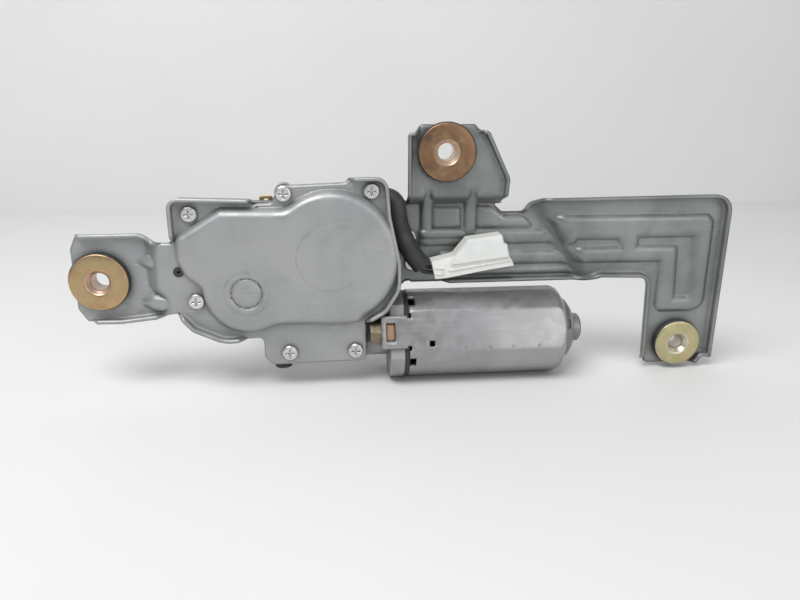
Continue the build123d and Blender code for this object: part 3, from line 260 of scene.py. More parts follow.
def sheet_metal(name, light, dark, rough=0.42, metallic=0.75, seed=0, grime_and_shade_colour=(0.10, 0.10, 0.095), scuff=0.3,
                edge=0.8, blotch=0.03, bright_edge=1.35, grain=0.10, streak=0.0, shade_arcs=(), wave=1.0):
    """Zinc-plated sheet: cloudy plating, scuffs, polished edges with a painted highlight, painted shade along
    embossed rings, and dust with painted shade in the corners.
    """
    g = Graph(name)
    cloud = g.noise(blotch, 4.0, 0.55, g.moved(shift=(seed * 41.0, seed * 17.0, 0)), 0.4)
    patch = g.noise(blotch * 6, 4.0, 0.55, g.moved(shift=(seed * 11.0, 0, 5)))
    tone = g.math("ADD", g.times(cloud, 0.75), g.times(patch, 0.25))
    colour = g.mix(g.ramp(tone, 0.36, 0.64), dark, light)
    cool = g.ramp(g.noise(blotch * 1.7, 2.0, 0.5, g.moved(shift=(seed * 5.0, 3, 71))), 0.45, 0.65)
    colour = g.mix(g.times(cool, 0.35), colour, (light[0] * 0.90, light[1] * 0.93, light[2] * 0.99))
    speck = g.noise(1.4, 3.0, 0.6)
    colour = g.mix(g.times(g.ramp(speck, 0.4, 0.75), grain), colour, scaled(light, 1.3))
    if streak:
        drawn = g.noise(0.9, 3.0, 0.6, g.moved(scale=(0.03, 1, 1)))
        colour = g.mix(g.times(g.ramp(drawn, 0.35, 0.7), streak), colour, scaled(dark, 0.62))
    scuffs = scratches(g, seed)
    colour = g.mix(g.times(scuffs, scuff), colour, lighter(light, 1.5))
    # painted shade: dark lines along the shallow embossed rings
    if shade_arcs:
        rings = painted_arc_shade(g, shade_arcs)
        colour = g.mix(g.times(rings, 0.30), colour, scaled(dark, 0.6))
    # painted highlight: edges lightened in colour, partly polished wear
    rim, rounded = g.edges(edge)
    colour = g.mix(g.times(rim, 0.4), colour, lighter(light, bright_edge))
    # painted shade: corners and recesses darkened in colour, partly dust
    painted_shade_and_dust = g.times(g.hollow(6.0), g.ramp(g.noise(0.25, 3.0, 0.6), 0.3, 0.6, 0.6, 1.0))
    colour = g.mix(g.times(painted_shade_and_dust, 0.5), colour, grime_and_shade_colour)
    roughness = g.blend(g.ramp(patch, 0.35, 0.65), rough - 0.06 * wave, rough + 0.08 * wave)
    roughness = g.blend(g.times(rim, 0.5), roughness, rough - 0.12)
    roughness = g.blend(g.times(painted_shade_and_dust, 0.7), roughness, 0.75)
    height = g.math("ADD", g.times(g.noise(0.5, 3.0, 0.5), 0.25), g.times(scuffs, -0.15))
    height = g.math("ADD", height, g.times(g.noise(0.07, 2.0, 0.5), 1.6))
    return g.finish(colour, roughness, g.bump(height, 0.6 * wave, 0.12, rounded), metallic)


def cast_metal(name, light, dark, rough=0.55, metallic=0.7):
    """Die-cast alloy: a fine pebbled skin, cloudy tone, painted shade in the corners and a painted highlight on the
    edges.
    """
    g = Graph(name)
    cloud = g.noise(0.05, 5.0, 0.6)
    speck = g.noise(1.8, 5.0, 0.7)
    colour = g.mix(g.ramp(cloud, 0.35, 0.65), dark, light)
    colour = g.mix(g.times(g.ramp(speck, 0.5, 0.7), 0.3), colour, scaled(dark, 0.7))
    # painted highlight: edges lightened in colour
    rim, rounded = g.edges(0.6)
    colour = g.mix(g.times(rim, 0.5), colour, lighter(light, 1.3))
    # painted shade: corners and recesses darkened in colour
    painted_shade_and_dust = g.hollow(7.0)
    colour = g.mix(g.times(painted_shade_and_dust, 0.5), colour, (0.09, 0.088, 0.08))
    roughness = g.blend(g.times(rim, 0.6), g.blend(speck, rough - 0.1, rough + 0.12), rough - 0.15)
    return g.finish(colour, roughness, g.bump(g.noise(2.4, 5.0, 0.7), 0.5, 0.12, rounded), metallic)


def turned_metal(name, light, dark, middle, rough=0.28, metallic=0.95, axis="Y", tint=None, rings=3.0, iris=None,
                 funnel=None):
    """Turned or stamped round pieces: fine rings about their own axis, tarnish, an edge polish with a painted
    highlight, a painted highlight in the funnel, and painted shade in the hollows.
    """
    g = Graph(name)
    place = g.moved(shift=tuple(-PER_MM * c for c in middle))
    split = g.add("ShaderNodeSeparateXYZ")
    g.link(place, split.inputs[0])
    across = [split.outputs[i] for i in range(3) if "XYZ"[i] != axis]
    radius = g.math("SQRT", g.math("ADD", g.math("POWER", across[0], 2.0), g.math("POWER", across[1], 2.0)))
    join = g.add("ShaderNodeCombineXYZ")
    g.link(radius, join.inputs[0])
    g.link(split.outputs["XYZ".index(axis)], join.inputs[1])
    lines = g.noise(rings, 3.0, 0.6, join.outputs[0])
    cloud = g.noise(0.16, 5.0, 0.62)
    colour = g.mix(g.ramp(cloud, 0.34, 0.66), dark, light)
    if tint:
        colour = g.mix(g.times(g.ramp(g.noise(0.09, 3.0, 0.5, g.moved(shift=(37, 5, 11))), 0.45, 0.65), 0.8),
                       colour, tint)
    if iris:
        colour = g.mix(g.times(g.ramp(g.noise(0.3, 2.0, 0.5, g.moved(shift=(7, 3, 91))), 0.5, 0.7), 0.4),
                       colour, iris)
    colour = g.mix(g.times(g.ramp(lines, 0.5, 0.75), 0.2), colour, lighter(light, 1.3))
    # painted highlight: a pale ring round the bore, in the funnel
    if funnel:
        near = g.math("SUBTRACT", 1.0, g.ramp(radius, 5.6, 6.6))
        colour = g.mix(g.times(near, 0.9), colour, funnel)
    # painted highlight: edges lightened in colour, partly polished wear
    rim, rounded = g.edges(0.35)
    colour = g.mix(g.times(rim, 0.35), colour, lighter(light, 1.35))
    # painted shade: hollows darkened in colour
    painted_shade_and_dirt = g.hollow(2.5)
    colour = g.mix(g.times(painted_shade_and_dirt, 0.45), colour, (0.05, 0.045, 0.035))
    roughness = g.blend(g.ramp(cloud, 0.3, 0.7), rough - 0.04, rough + 0.12)
    return g.finish(colour, roughness, g.bump(lines, 0.25, 0.03, rounded), metallic)


def rubber(name, colour=(0.022, 0.022, 0.023)):
    """Moulded rubber with a dusty bloom and a painted highlight on its edges."""
    g = Graph(name)
    bloom = g.ramp(g.noise(0.25, 5.0, 0.65), 0.45, 0.75)
    shade = g.mix(g.times(bloom, 0.45), colour, scaled(colour, 3.2))
    # painted highlight: edges lightened in colour
    rim, rounded = g.edges(0.5)
    shade = g.mix(g.times(rim, 0.3), shade, scaled(colour, 3.5))
    roughness = g.blend(bloom, 0.52, 0.77)
    return g.finish(shade, roughness, g.bump(g.noise(2.6, 5.0, 0.65), 0.5, 0.08, rounded))


def plastic(name, colour, rough=0.45, subsurface=0.0):
    """Moulded plastic: a faint cloud, dull patches, a painted highlight on the edges and dirt with painted shade in
    the corners.
    """
    g = Graph(name)
    cloud = g.noise(0.12, 4.0, 0.6)
    shade = g.mix(g.ramp(cloud, 0.35, 0.7), scaled(colour, 0.92), colour)
    # painted highlight: edges lightened in colour
    rim, rounded = g.edges(0.4)
    shade = g.mix(g.times(rim, 0.25), shade, lighter(colour, 1.12))
    # painted shade: corners and recesses darkened in colour, partly dirt
    painted_shade_and_dirt = g.times(g.hollow(4.0), g.ramp(g.noise(0.5, 4.0, 0.6), 0.35, 0.65))
    shade = g.mix(g.times(painted_shade_and_dirt, 0.4), shade, scaled(colour, 0.42))
    roughness = g.blend(g.noise(0.8, 4.0, 0.6), rough - 0.12, rough + 0.12)
    height = g.math("ADD", g.noise(1.1, 4.0, 0.6), g.times(g.noise(0.2, 2.0, 0.5), 1.4))
    return g.finish(shade, roughness, g.bump(height, 0.25, 0.08, rounded), Subsurface_Weight=subsurface)


def braid(name):
    """Woven black sleeving: fine diagonal strands."""
    g = Graph(name)
    bands = []
    for turn in (0.75, -0.75):
        wave = g.add("ShaderNodeTexWave", wave_type="BANDS", bands_direction="X")
        g.link(g.moved(turn=(0, turn, 0)), wave.inputs["Vector"])
        wave.inputs["Scale"].default_value = 0.42
        wave.inputs["Distortion"].default_value = 1.2
        wave.inputs["Detail"].default_value = 2.0
        bands.append(wave.outputs["Fac"])
    weave = g.math("MAXIMUM", *bands)
    shade = g.mix(g.ramp(weave, 0.4, 0.95), (0.012, 0.012, 0.013), (0.034, 0.034, 0.037))
    shade = g.mix(g.times(g.ramp(g.noise(0.1, 4.0, 0.6), 0.5, 0.75), 0.5), shade, (0.06, 0.06, 0.062))
    return g.finish(shade, g.blend(weave, 0.62, 0.42), g.bump(weave, 0.5, 0.16))


# ---------------------------------------------------------------- materials for the CAD nodes
def middle(node):
    """The middle of a node's box, in metres."""
    low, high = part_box(node)
    return (low + high) / 2


def dress(mat, *names):
    """Gives the named nodes one material."""
    for name in names:
        mesh = nodes[name].data
        mesh.materials.clear()
        mesh.materials.append(mat)


STEEL_LIGHT, STEEL_DARK = (0.52, 0.52, 0.52), (0.42, 0.42, 0.42)
OUTPUT_AXIS, WHEEL_AXIS, ARMATURE_AXIS = (0, 0, 0), (0.038, 0, 0.005625), (0, -0.048, -0.029)    # metres

# the cover's rings are painted shade along its embossed steps
dress(sheet_metal("cover_zinc", (0.40, 0.407, 0.40), (0.315, 0.325, 0.322), 0.44, 0.6, 1, scuff=0.35,
                  blotch=0.022, shade_arcs=[(40.5, 16.5, 16.2, 0.5), (0, 0, 10.6, 0.4)]),
      "cover_plate")
dress(sheet_metal("arm_zinc", (0.285, 0.297, 0.288), (0.19, 0.202, 0.197), 0.40, 0.7, 2, scuff=0.2, blotch=0.03,
                  edge=1.1), "arm_bracket")
dress(sheet_metal("can_zinc", (0.41, 0.404, 0.406), (0.325, 0.323, 0.328), 0.33, 0.82, 3, scuff=0.35, blotch=0.035,
                  grain=0.0, streak=0.10, wave=0.8, edge=2.4, bright_edge=1.1), "motor_can")
dress(sheet_metal("cap_zinc", (0.30, 0.302, 0.302), (0.21, 0.215, 0.22), 0.36, 0.85, 4, scuff=0.15, grain=0.0),
      "end_cap")
dress(cast_metal("die_cast", (0.40, 0.40, 0.39), (0.30, 0.30, 0.295)), "gear_housing")
# the funnel colours are painted highlights in the washers' funnels
dress(turned_metal("washer_gold", (0.50, 0.345, 0.175), (0.38, 0.25, 0.13), middle("bush_sleeve_left"), 0.30, 0.85,
                   tint=(0.44, 0.345, 0.19), iris=(0.52, 0.29, 0.24),
                   funnel=(0.66, 0.50, 0.40)), "bush_sleeve_left", "bush_washer_left")
dress(turned_metal("washer_bronze", (0.30, 0.185, 0.105), (0.18, 0.11, 0.066), middle("bush_sleeve_top"), 0.34, 0.85,
                   tint=(0.25, 0.135, 0.075), funnel=(0.74, 0.60, 0.48)), "bush_sleeve_top", "bush_washer_top")
dress(turned_metal("washer_olive", (0.54, 0.50, 0.28), (0.42, 0.38, 0.21), middle("bush_sleeve_right"), 0.32, 0.85,
                   tint=(0.52, 0.41, 0.24), iris=(0.42, 0.46, 0.32),
                   funnel=(0.66, 0.62, 0.52)), "bush_sleeve_right", "bush_washer_right")
dress(cast_metal("screw_zinc", (0.72, 0.72, 0.70), (0.58, 0.58, 0.57), 0.24, 0.95),
      "cover_screws", "arm_screws", "earth_rivet")
dress(turned_metal("shaft_steel", STEEL_LIGHT, STEEL_DARK, OUTPUT_AXIS, 0.22), "output_shaft")
dress(turned_metal("axle_steel", STEEL_LIGHT, STEEL_DARK, WHEEL_AXIS, 0.22), "wheel_axle", "wheel_washers")
dress(turned_metal("armature_steel", STEEL_LIGHT, STEEL_DARK, ARMATURE_AXIS, 0.22, axis="X"),
      "armature_shaft", "thrust_pad")
dress(cast_metal("sintered", (0.26, 0.26, 0.265), (0.19, 0.19, 0.195), 0.5, 0.85),
      "output_pinion", "sector_gear", "link_plate", "pivot_pin", "crank_pin", "pinion_washer", "clip_washer")
dress(cast_metal("spring_steel", (0.30, 0.30, 0.30), (0.22, 0.22, 0.22), 0.3, 0.9), "shaft_circlip", "brush_springs")
dress(cast_metal("bronze", (0.40, 0.27, 0.12), (0.30, 0.20, 0.09), 0.42, 0.9),
      "front_shaft_bush", "rear_shaft_bush", "front_bearing", "rear_bearing", "nose_bush")
dress(cast_metal("bolt_bronze", (0.27, 0.23, 0.15), (0.16, 0.135, 0.09), 0.34, 0.9), "motor_bolts")
dress(cast_metal("nut_copper", (0.52, 0.32, 0.20), (0.40, 0.24, 0.15), 0.4, 0.85), "motor_nuts")
dress(cast_metal("brass", (0.62, 0.44, 0.17), (0.50, 0.34, 0.13), 0.32, 0.95),
      "earth_tab", "park_contact_ring", "park_switch_contacts")
dress(cast_metal("tin", (0.62, 0.61, 0.58), (0.52, 0.51, 0.48), 0.3, 0.95), "connector_terminals")
dress(cast_metal("laminations", (0.15, 0.15, 0.16), (0.10, 0.10, 0.11), 0.5, 0.8), "armature_core", "magnets")
dress(turned_metal("copper", (0.60, 0.26, 0.12), (0.42, 0.17, 0.08), ARMATURE_AXIS, 0.3, axis="X"),
      "armature_windings", "commutator")
dress(plastic("wheel_acetal", (0.74, 0.71, 0.62), 0.35, subsurface=0.1), "worm_wheel")
dress(plastic("card_phenolic", (0.035, 0.030, 0.026), 0.5), "brush_card", "park_switch_plate")
dress(plastic("connector_nylon", (0.81, 0.795, 0.75), 0.38, subsurface=0.1), "connector_housing", "connector_clip")
dress(plastic("carbon", (0.03, 0.03, 0.031), 0.55), "carbon_brushes")
dress(plastic("wire_jacket", (0.016, 0.016, 0.018), 0.32), "lead_wires")
dress(rubber("bush_rubber", (0.028, 0.028, 0.030)), "bush_rubber_left", "bush_rubber_top", "bush_rubber_right")
dress(rubber("seal_rubber"), "shaft_seal", "vent_plug", "drain_nozzle", "wire_grommet", "cover_gasket")
dress(braid("sleeve_weave"), "wire_sleeve")


# ---------------------------------------------------------------- pressed sheet of the arm
# Lengths here are in millimetres on the part's front face: x to the right, y up, and the level towards the viewer.
ARM_LEVEL, FAR_LEVEL, SHEET = 45.0, 52.4, 1.6
ARM_CORNERS = [
    ((79.2, 74.2), 2), ((82.6, 74.4), 1), ((85.6, 77.9), 2), ((112.2, 77.9), 1.5), ((114.4, 75.3), 1.5),
    ((118.4, 75.1), 3), ((129.6, 52), 6), ((128.6, 39.2), 2), ((124, 38.2), 1), ((128.8, 33.7), 3),
    ((138.8, 33.8), 3), ((142, 38.8), 4), ((148, 41.8), 5), ((246.3, 42.6), 9), ((245.9, -46.6), 1),
    ((240.6, -45.6), 1.5), ((238, -49.8), 2), ((210.4, -49.8), 2), ((209, -47), 1), ((206.8, -47), 0.8),
    ((205.4, -0.4), 5), ((180, 0.5), 6), ((172, -2.4), 8), ((82, -2.6), 1.5), ((79.6, -1.2), 1.5),
    ((76.4, -4.6), 1), ((72.5, -4.6), 0.6), ((71.6, -1.8), 0.3), ((72.3, 3), 2), ((72.3, 8.5), 3), ((71.3, 14), 3),
    ((69.2, 19.5), 3), ((66.4, 24.8), 3), ((63.1, 29), 1), ((68, 39), 3), ((79.2, 39), 1)]
ARM_FLANGED = [(70, 41, 84, 75.4), (114.4, 41, 140, 75.4), (139, 33, 260, 60), (236, -60, 260, 60),
               (196, -46.5, 210, 10), (100, -6, 210, 6)]
ARM_HOLES = [(98.0, 65.0, 8.4), (225.5, -37.2, 7.8), (82.4, 8.1, 2.3), (80.2, 21.5, 2.3), (70.5, 31.0, 2.3)]
RIBS = (89.8, 112.4)
TRACK = [(152, 32.3), (235.5, 31.9), (238.6, 28.7), (238.7, -14.6), (236.8, -17.9), (232.6, -19.9), (214.7, -19.6),
         (212.2, -17.0), (212.1, 7.8), (166, 8.3)]
POCKETS = [[(162.5, 17.1), (166.5, 21.9), (189.3, 21.4), (191.8, 18.5), (190.6, 14.4), (166.2, 14.2)],
           [(198, 22.3), (230.6, 22.0), (232.2, -10.6), (230.2, -13.8), (220.8, -13.8), (219.4, 14.4), (197.6, 14.8)]]
PADS = [[(92.8, 36.2), (106.7, 36.2), (106.9, 26.4), (92.9, 26.4)],
        [(115.8, 36.4), (123, 36.2), (130.0, 30.9), (140, 30.9), (145.2, 26.2), (116, 26.2)]]
LONG_RIBS = [[(86, 24.6), (153, 24.0), (158, 17.6), (86, 17.2)], [(97, 12.9), (160.5, 12.6), (165.5, 6.6), (97, 6.4)],
             [(104, 4.6), (166, 4.4), (169, 1.2), (104, 1.0)]]
CROSS_RIB = [(86.6, 24.9), (110, 24.9), (110, 21.6), (86.6, 21.6)]


def smooth(t):
    """0 up to 0, 1 from 1 on, and a soft passage between."""
    t = min(1.0, max(0.0, t))
    return t * t * (3 - 2 * t)


def rounded(corners, step=0.8):
    """A closed outline with its corners rounded, as points about a step apart."""
    arcs = []
    for i, (corner, radius) in enumerate(corners):
        b = Vector(corner)
        u = (Vector(corners[i - 1][0]) - b).normalized()
        v = (Vector(corners[(i + 1) % len(corners)][0]) - b).normalized()
        half = max(u.angle(v) / 2, 0.01)
        centre = b + (u + v).normalized() * (radius / math.sin(half))
        first, last = b + u * radius / math.tan(half) - centre, b + v * radius / math.tan(half) - centre
        turn = math.atan2(first.x * last.y - first.y * last.x, first.dot(last))
        count = max(1, math.ceil(abs(turn) * radius / step))
        for k in range(count + 1):
            arcs.append(centre + Matrix.Rotation(turn * k / count, 2) @ first)
    points = []
    for a, b in zip(arcs, arcs[1:] + arcs[:1]):
        count = max(1, round((b - a).length / step))
        points += [a + (b - a) * k / count for k in range(count) if (b - a).length > 0.05]
    return points


def depth(x, y, corners, reach=1.0):
    """How far a point lies inside an outline; below zero outside, and not followed further than reach."""
    if not (min(c[0] for c in corners) - reach < x < max(c[0] for c in corners) + reach):
        return -reach
    if not (min(c[1] for c in corners) - reach < y < max(c[1] for c in corners) + reach):
        return -reach
    nearest, inside = 1e9, False
    for (ax, ay), (bx, by) in zip(corners, corners[1:] + corners[:1]):
        ex, ey = bx - ax, by - ay
        t = min(1.0, max(0.0, ((x - ax) * ex + (y - ay) * ey) / (ex * ex + ey * ey)))
        nearest = min(nearest, math.hypot(x - ax - t * ex, y - ay - t * ey))
        if (ay > y) != (by > y) and x < ax + (y - ay) / ey * ex:
            inside = not inside
    return nearest if inside else -nearest


STEP_AT, STEP_HEADING, STEP_WIDE = (145.0, 31), math.radians(33), 12.0
PAD_HIGH, CROSS_HIGH, RIDGE_HIGH, LONG_HIGH, TRACK_HIGH = 1.5, 1.6, 1.8, 1.5, 2.0
RIDGE_FOOT, RIDGE_END = 22.5, 54


def arm_level(x, y):
    """The level of the sheet's front face, with its steps and soft pressed forms."""
    across = (x - STEP_AT[0]) * math.cos(STEP_HEADING) + (y - STEP_AT[1]) * math.sin(STEP_HEADING)
    far = max(smooth(across / STEP_WIDE), smooth((x - 180) / 8))
    ear = smooth((y - 38.4) / 6.4) * smooth((133 - x) / 2)
    level = ARM_LEVEL + (FAR_LEVEL - ARM_LEVEL) * max(far, ear)
    if x < 150:
        level += PAD_HIGH * max(smooth((depth(x, y, pad) + 0.4) / 1.5) for pad in PADS)
        level += CROSS_HIGH * smooth((depth(x, y, CROSS_RIB) + 0.5) / 1.9)
        for rib_x in RIBS:
            side = smooth((3.4 - abs(x - rib_x)) / 2.3)
            if side and RIDGE_FOOT < y < RIDGE_END:
                slope = min(1.0, smooth((y - 33) / 26) * 1.55)
                ridge = ARM_LEVEL + RIDGE_HIGH + (FAR_LEVEL - ARM_LEVEL - RIDGE_HIGH) * slope
                level += (ridge - level) * side * smooth((y - RIDGE_FOOT) / 2.5) * smooth((RIDGE_END - y) / 2)
    if x < 175:
        level += LONG_HIGH * smooth(1 - 1.4 * far) * max(smooth((depth(x, y, rib) + 0.6) / 2.4) for rib in LONG_RIBS)
    if x > 150:
        raised = smooth((depth(x, y, TRACK) + 0.4) / 2.4)
        if raised:
            raised -= max(smooth((depth(x, y, pocket) + 0.9) / 2.8) for pocket in POCKETS)
        level += TRACK_HIGH * smooth(1.5 * far - 0.5) * max(raised, 0.0)
    return level


def inside_test(outline):
    """A quick test whether a point lies inside a closed outline, from its edges sorted into rows."""
    rows = {}
    for a, b in zip(outline, outline[1:] + outline[:1]):
        for row in range(math.floor(min(a.y, b.y)), math.floor(max(a.y, b.y)) + 1):
            rows.setdefault(row, []).append((a, b))

    def inside(x, y):
        odd = False
        for a, b in rows.get(math.floor(y), ()):
            if (a.y > y) != (b.y > y) and x < a.x + (y - a.y) / (b.y - a.y) * (b.x - a.x):
                odd = not odd
        return odd
    return inside


BEND, GRID = 3.0, 0.95      # the radius of a flange's bend, and the step of a sheet's net
RIM_INSETS = (0.22, 0.6, 1.15, 1.9)


def pressed_sheet(name, node, corners, flanged, holes, level_at, flange=3.7):
    """A stamped sheet: its back face is laid out on a fine net, bent up at its flanges, then thickened."""
    outline = rounded(corners)
    tree = KDTree(len(outline))
    for i, point in enumerate(outline):
        tree.insert((point.x, point.y, 0), i)
    tree.balance()
    flags = [float(any(a <= q.x <= c and b <= q.y <= d for a, b, c, d in flanged)) for q in outline]
    count = len(outline)
    flags = [sum(flags[(i + k) % count] for k in range(-2, 3)) / 5 for i in range(count)]

    def edge(x, y):
        """Distance in from the outline, and how far the edge there is flanged, 0 to 1."""
        _, i, _ = tree.find((x, y, 0))
        best = 1e9
        for a, b in ((outline[i - 1], outline[i]), (outline[i], outline[(i + 1) % count])):
            along = b - a
            t = min(1.0, max(0.0, (Vector((x, y)) - a).dot(along) / along.length_squared))
            best = min(best, (Vector((x, y)) - a - along * t).length)
        return best, flags[i]

    points, edges, loops = [], [], [outline]
    for hx, hy, radius in holes:
        turns = 40 if radius > 4 else 16
        angles = [math.tau * k / turns for k in range(turns)]
        loops.append([Vector((hx + radius * math.cos(a), hy + radius * math.sin(a))) for a in angles])
    for loop in loops:
        first = len(points)
        points += loop
        edges += [(first + k, first + (k + 1) % len(loop)) for k in range(len(loop))]
    inside = inside_test(outline)
    for i, q in enumerate(outline):
        along = (outline[(i + 1) % count] - outline[i - 1]).normalized()
        for inset in RIM_INSETS:
            for side in (1, -1):
                spot = q + Vector((-along.y, along.x)) * inset * side
                if inside(spot.x, spot.y) and edge(spot.x, spot.y)[0] > inset * 0.93:
                    points.append(spot)
    low = Vector((min(q.x for q in outline), min(q.y for q in outline)))
    high = Vector((max(q.x for q in outline), max(q.y for q in outline)))
    row = 0
    y = low.y
    while y < high.y:
        x = low.x + (row % 2) * GRID / 2
        while x < high.x:
            if inside(x, y) and edge(x, y)[0] > 2.4:
                if all(math.hypot(x - hx, y - hy) > radius + 0.4 for hx, hy, radius in holes):
                    points.append(Vector((x, y)))
            x += GRID
        y += GRID * 0.87
        row += 1
    verts, _, faces, *_ = delaunay_2d_cdt(points, edges, [], 0, 1e-5)
    bm = bmesh.new()
    made = []
    for v in verts:
        inset, flag = edge(v.x, v.y)
        rise = 0.0
        if inset < BEND and flag:
            rise = (BEND - math.sqrt(max(0.0, BEND * BEND - (BEND - inset) ** 2))) * flag
        made.append(bm.verts.new((v.x, v.y, level_at(v.x, v.y) - SHEET + rise)))
    for face in faces:
        mid = sum((verts[k] for k in face), Vector((0, 0))) / len(face)
        a, b, c = (verts[k] for k in face[:3])
        sliver = abs((b - a).cross(c - a)) < 0.004
        clear = all(math.hypot(mid.x - hx, mid.y - hy) > radius for hx, hy, radius in holes)
        if inside(mid.x, mid.y) and clear and not sliver:
            bm.faces.new([made[k] for k in face])
    bmesh.ops.delete(bm, geom=[v for v in bm.verts if not v.link_faces], context="VERTS")
    rim = [e for e in bm.edges if e.is_boundary and edge(*e.verts[0].co.xy)[0] < 0.02]
    tops = {}                   # the wall is made edge by edge, so that its faces come in the same order each run
    for v in (v for e in rim for v in e.verts):
        if v not in tops:
            rise = 0.02 + (flange + SHEET - BEND) * edge(*v.co.xy)[1]
            tops[v] = bm.verts.new((v.co.x, v.co.y, v.co.z + rise))
    for e in rim:
        a, b = e.verts
        bm.faces.new((b, a, tops[a], tops[b]))
    for v in bm.verts:
        v.co = Vector((v.co.x, -v.co.z, v.co.y)) * MM
    bmesh.ops.recalc_face_normals(bm, faces=bm.faces)
    if sum(f.normal.y * f.calc_area() for f in bm.faces) < 0:      # the net has to face the back
        bmesh.ops.reverse_faces(bm, faces=bm.faces)
    obj = made_from(bm, name, own_material(node))
    thick = obj.modifiers.new("thickness", "SOLIDIFY")
    thick.thickness = SHEET * MM
    thick.offset = -1
    stand_in(obj, node)


pressed_sheet("arm_pressing", "arm_bracket", ARM_CORNERS, ARM_FLANGED, ARM_HOLES, arm_level)


# ---------------------------------------------------------------- pressed sheet of the cover
COVER_LEVEL, EAR_LEVEL, BULGE_HIGH = 62.0, 55.0, 5.0
COVER_CORNERS = [
    ((-34, 24.6), 2), ((-34, 46.4), 5), ((4.8, 45), 2), ((5, 42.6), 1), ((13.6, 42.9), 2), ((17.4, 51), 2.5),
    ((48.5, 52.1), 1.5), ((50.6, 54.5), 2), ((68.6, 54.8), 6), ((70, 36), 20), ((74.8, 13), 10),
    ((74.9, -0.5), 14), ((67.5, -12.5), 10), ((57.9, -18), 2), ((57.6, -38.5), 3), ((10, -39.3), 5),
    ((6.3, -34.6), 2), ((6.3, -24.4), 2.5), ((-12.4, -25.9), 18), ((-27.2, -19), 8), ((-34.5, -10.2), 3),
    ((-42, -13.9), 4), ((-62, -16), 10), ((-79, -15.8), 2.5), ((-83.2, -9), 3), ((-83.2, 21), 2), ((-79.8, 28.5), 1),
    ((-50, 28.5), 6), ((-40, 24.7), 4)]
COVER_FLANGED = [(-79.5, 20, -41, 35), (-76, -20, -43, -9), (-35, 26, 4.6, 50), (51, 30, 76, 60), (58.5, -18, 80, 35),
                 (-33, -30, -3, -12)]
SCREWS = [(-24.6, 38.4), (19.5, 47.3), (61.0, 48.0), (-24.5, -4.3), (19.1, -32.5), (52, -32.5)]
COVER_HOLES = [(-70.5, 5.3, 8.4), (-32.0, 10.4, 1.9)] + [(x, y, 2.3) for x, y in SCREWS]
LOBE = [(-28.0, 25.6), (-9.4, 37), (22, 36.4), (42, 20), (52.5, -13.4), (12, -13.2), (-14, -1), (-19.0, 5.5),
        (-25.6, 11), (-28.4, 17.5)]
ROUNDS = [(0.2, 0.4, 21.8), (42, 17.2, 32.0), (42.8, 14.0, 31.6)]
LOBE_SPREAD = 4.4           # how far the bulge's foot lies outside the lobe's outline
PASSAGE = 1.05              # the softness of the passage between the bulge's parts
DARTS = (14.6, -6.4)        # the height of each dart's middle line
PLATEAU_AT, PLATEAU_R = (40.5, 16.5), 16.4


def joined(values):
    """The largest of the values, with a smooth passage from one to the next."""
    top = max(values)
    return top + PASSAGE * math.log(sum(math.exp((v - top) / PASSAGE) for v in values))


def cover_level(x, y):
    """The level of the cover's front face: the step to the ear, its darts, the bulge and the shaft's dome."""
    shift = 4.5 * smooth((3 - y) / 7)
    level = EAR_LEVEL + (COVER_LEVEL - EAR_LEVEL) * smooth((x + 49.0 - shift) / 10.0)
    if x < -38:
        for dart_y in DARTS:
            along = (x + 55.0) / 9
            if 0 < along < 1.8:
                side = smooth((3.6 * min(along, 1) - abs(y - dart_y) + 0.6) / 2.6)
                level = max(level, EAR_LEVEL + 4.4 * smooth(along / 1.5) * side)
        return level
    deep = [radius - math.hypot(x - cx, y - cy) for cx, cy, radius in ROUNDS]
    deep.append(depth(x, y, LOBE, 12.0) + LOBE_SPREAD)
    level += BULGE_HIGH * smooth((joined(deep) - 0.4) / 3.6)
    level += 0.22 * smooth((PLATEAU_R - math.hypot(x - PLATEAU_AT[0], y - PLATEAU_AT[1])) / 1.6)
    far = math.hypot(x, y)
    if far < 12:
        level += 0.7 * smooth((10.8 - far) / 1.3) - 1.5 * smooth((9.4 - far) / 2.2)
        level += 1.9 * max(0.0, 1 - (far / 7.9) ** 2)
    return level


pressed_sheet("cover_pressing", "cover_plate", COVER_CORNERS, COVER_FLANGED, COVER_HOLES, cover_level, flange=4.0)


# ---------------------------------------------------------------- rolled washers of the bushes
TURNS = 96


def lathe(name, middle_at, profile, mat):
    """A closed profile of (radius, forward) points in millimetres, turned about the axis through middle_at."""
    bm = bmesh.new()
    rings = []
    for k in range(TURNS):
        angle = math.tau * k / TURNS
        rings.append([bm.verts.new((middle_at[0] + r * math.cos(angle) * MM, middle_at[1] - z * MM,
                                    middle_at[2] + r * math.sin(angle) * MM)) for r, z in profile])
    for k in range(TURNS):
        a, b = rings[k], rings[(k + 1) % TURNS]
        for i in range(len(profile)):
            j = (i + 1) % len(profile)
            bm.faces.new((a[i], a[j], b[j], b[i]))
    bmesh.ops.recalc_face_normals(bm, faces=bm.faces)
    return made_from(bm, name, mat)


def washer_profile(bore, wide, length):
    """From the back of the tube round its funnel and over the washer's softly domed face."""
    tube = bore + 1.6
    return [(bore, -length), (bore, -3.4), (bore + 0.1, -2.9), (bore + 0.45, -2.3), (tube - 0.45, -1.6),
            (tube - 0.1, -1.0), (tube + 0.25, -0.55), (tube + 0.8, -0.32), (tube + 1.6, -0.30), (wide * 0.75, -0.36),
            (wide - 1.1, -0.5), (wide - 0.45, -0.62), (wide - 0.1, -0.82), (wide, -1.02), (wide - 0.05, -1.16),
            (wide - 0.5, -1.2), (tube, -1.2), (tube, -length + 0.2), (tube - 0.2, -length)]


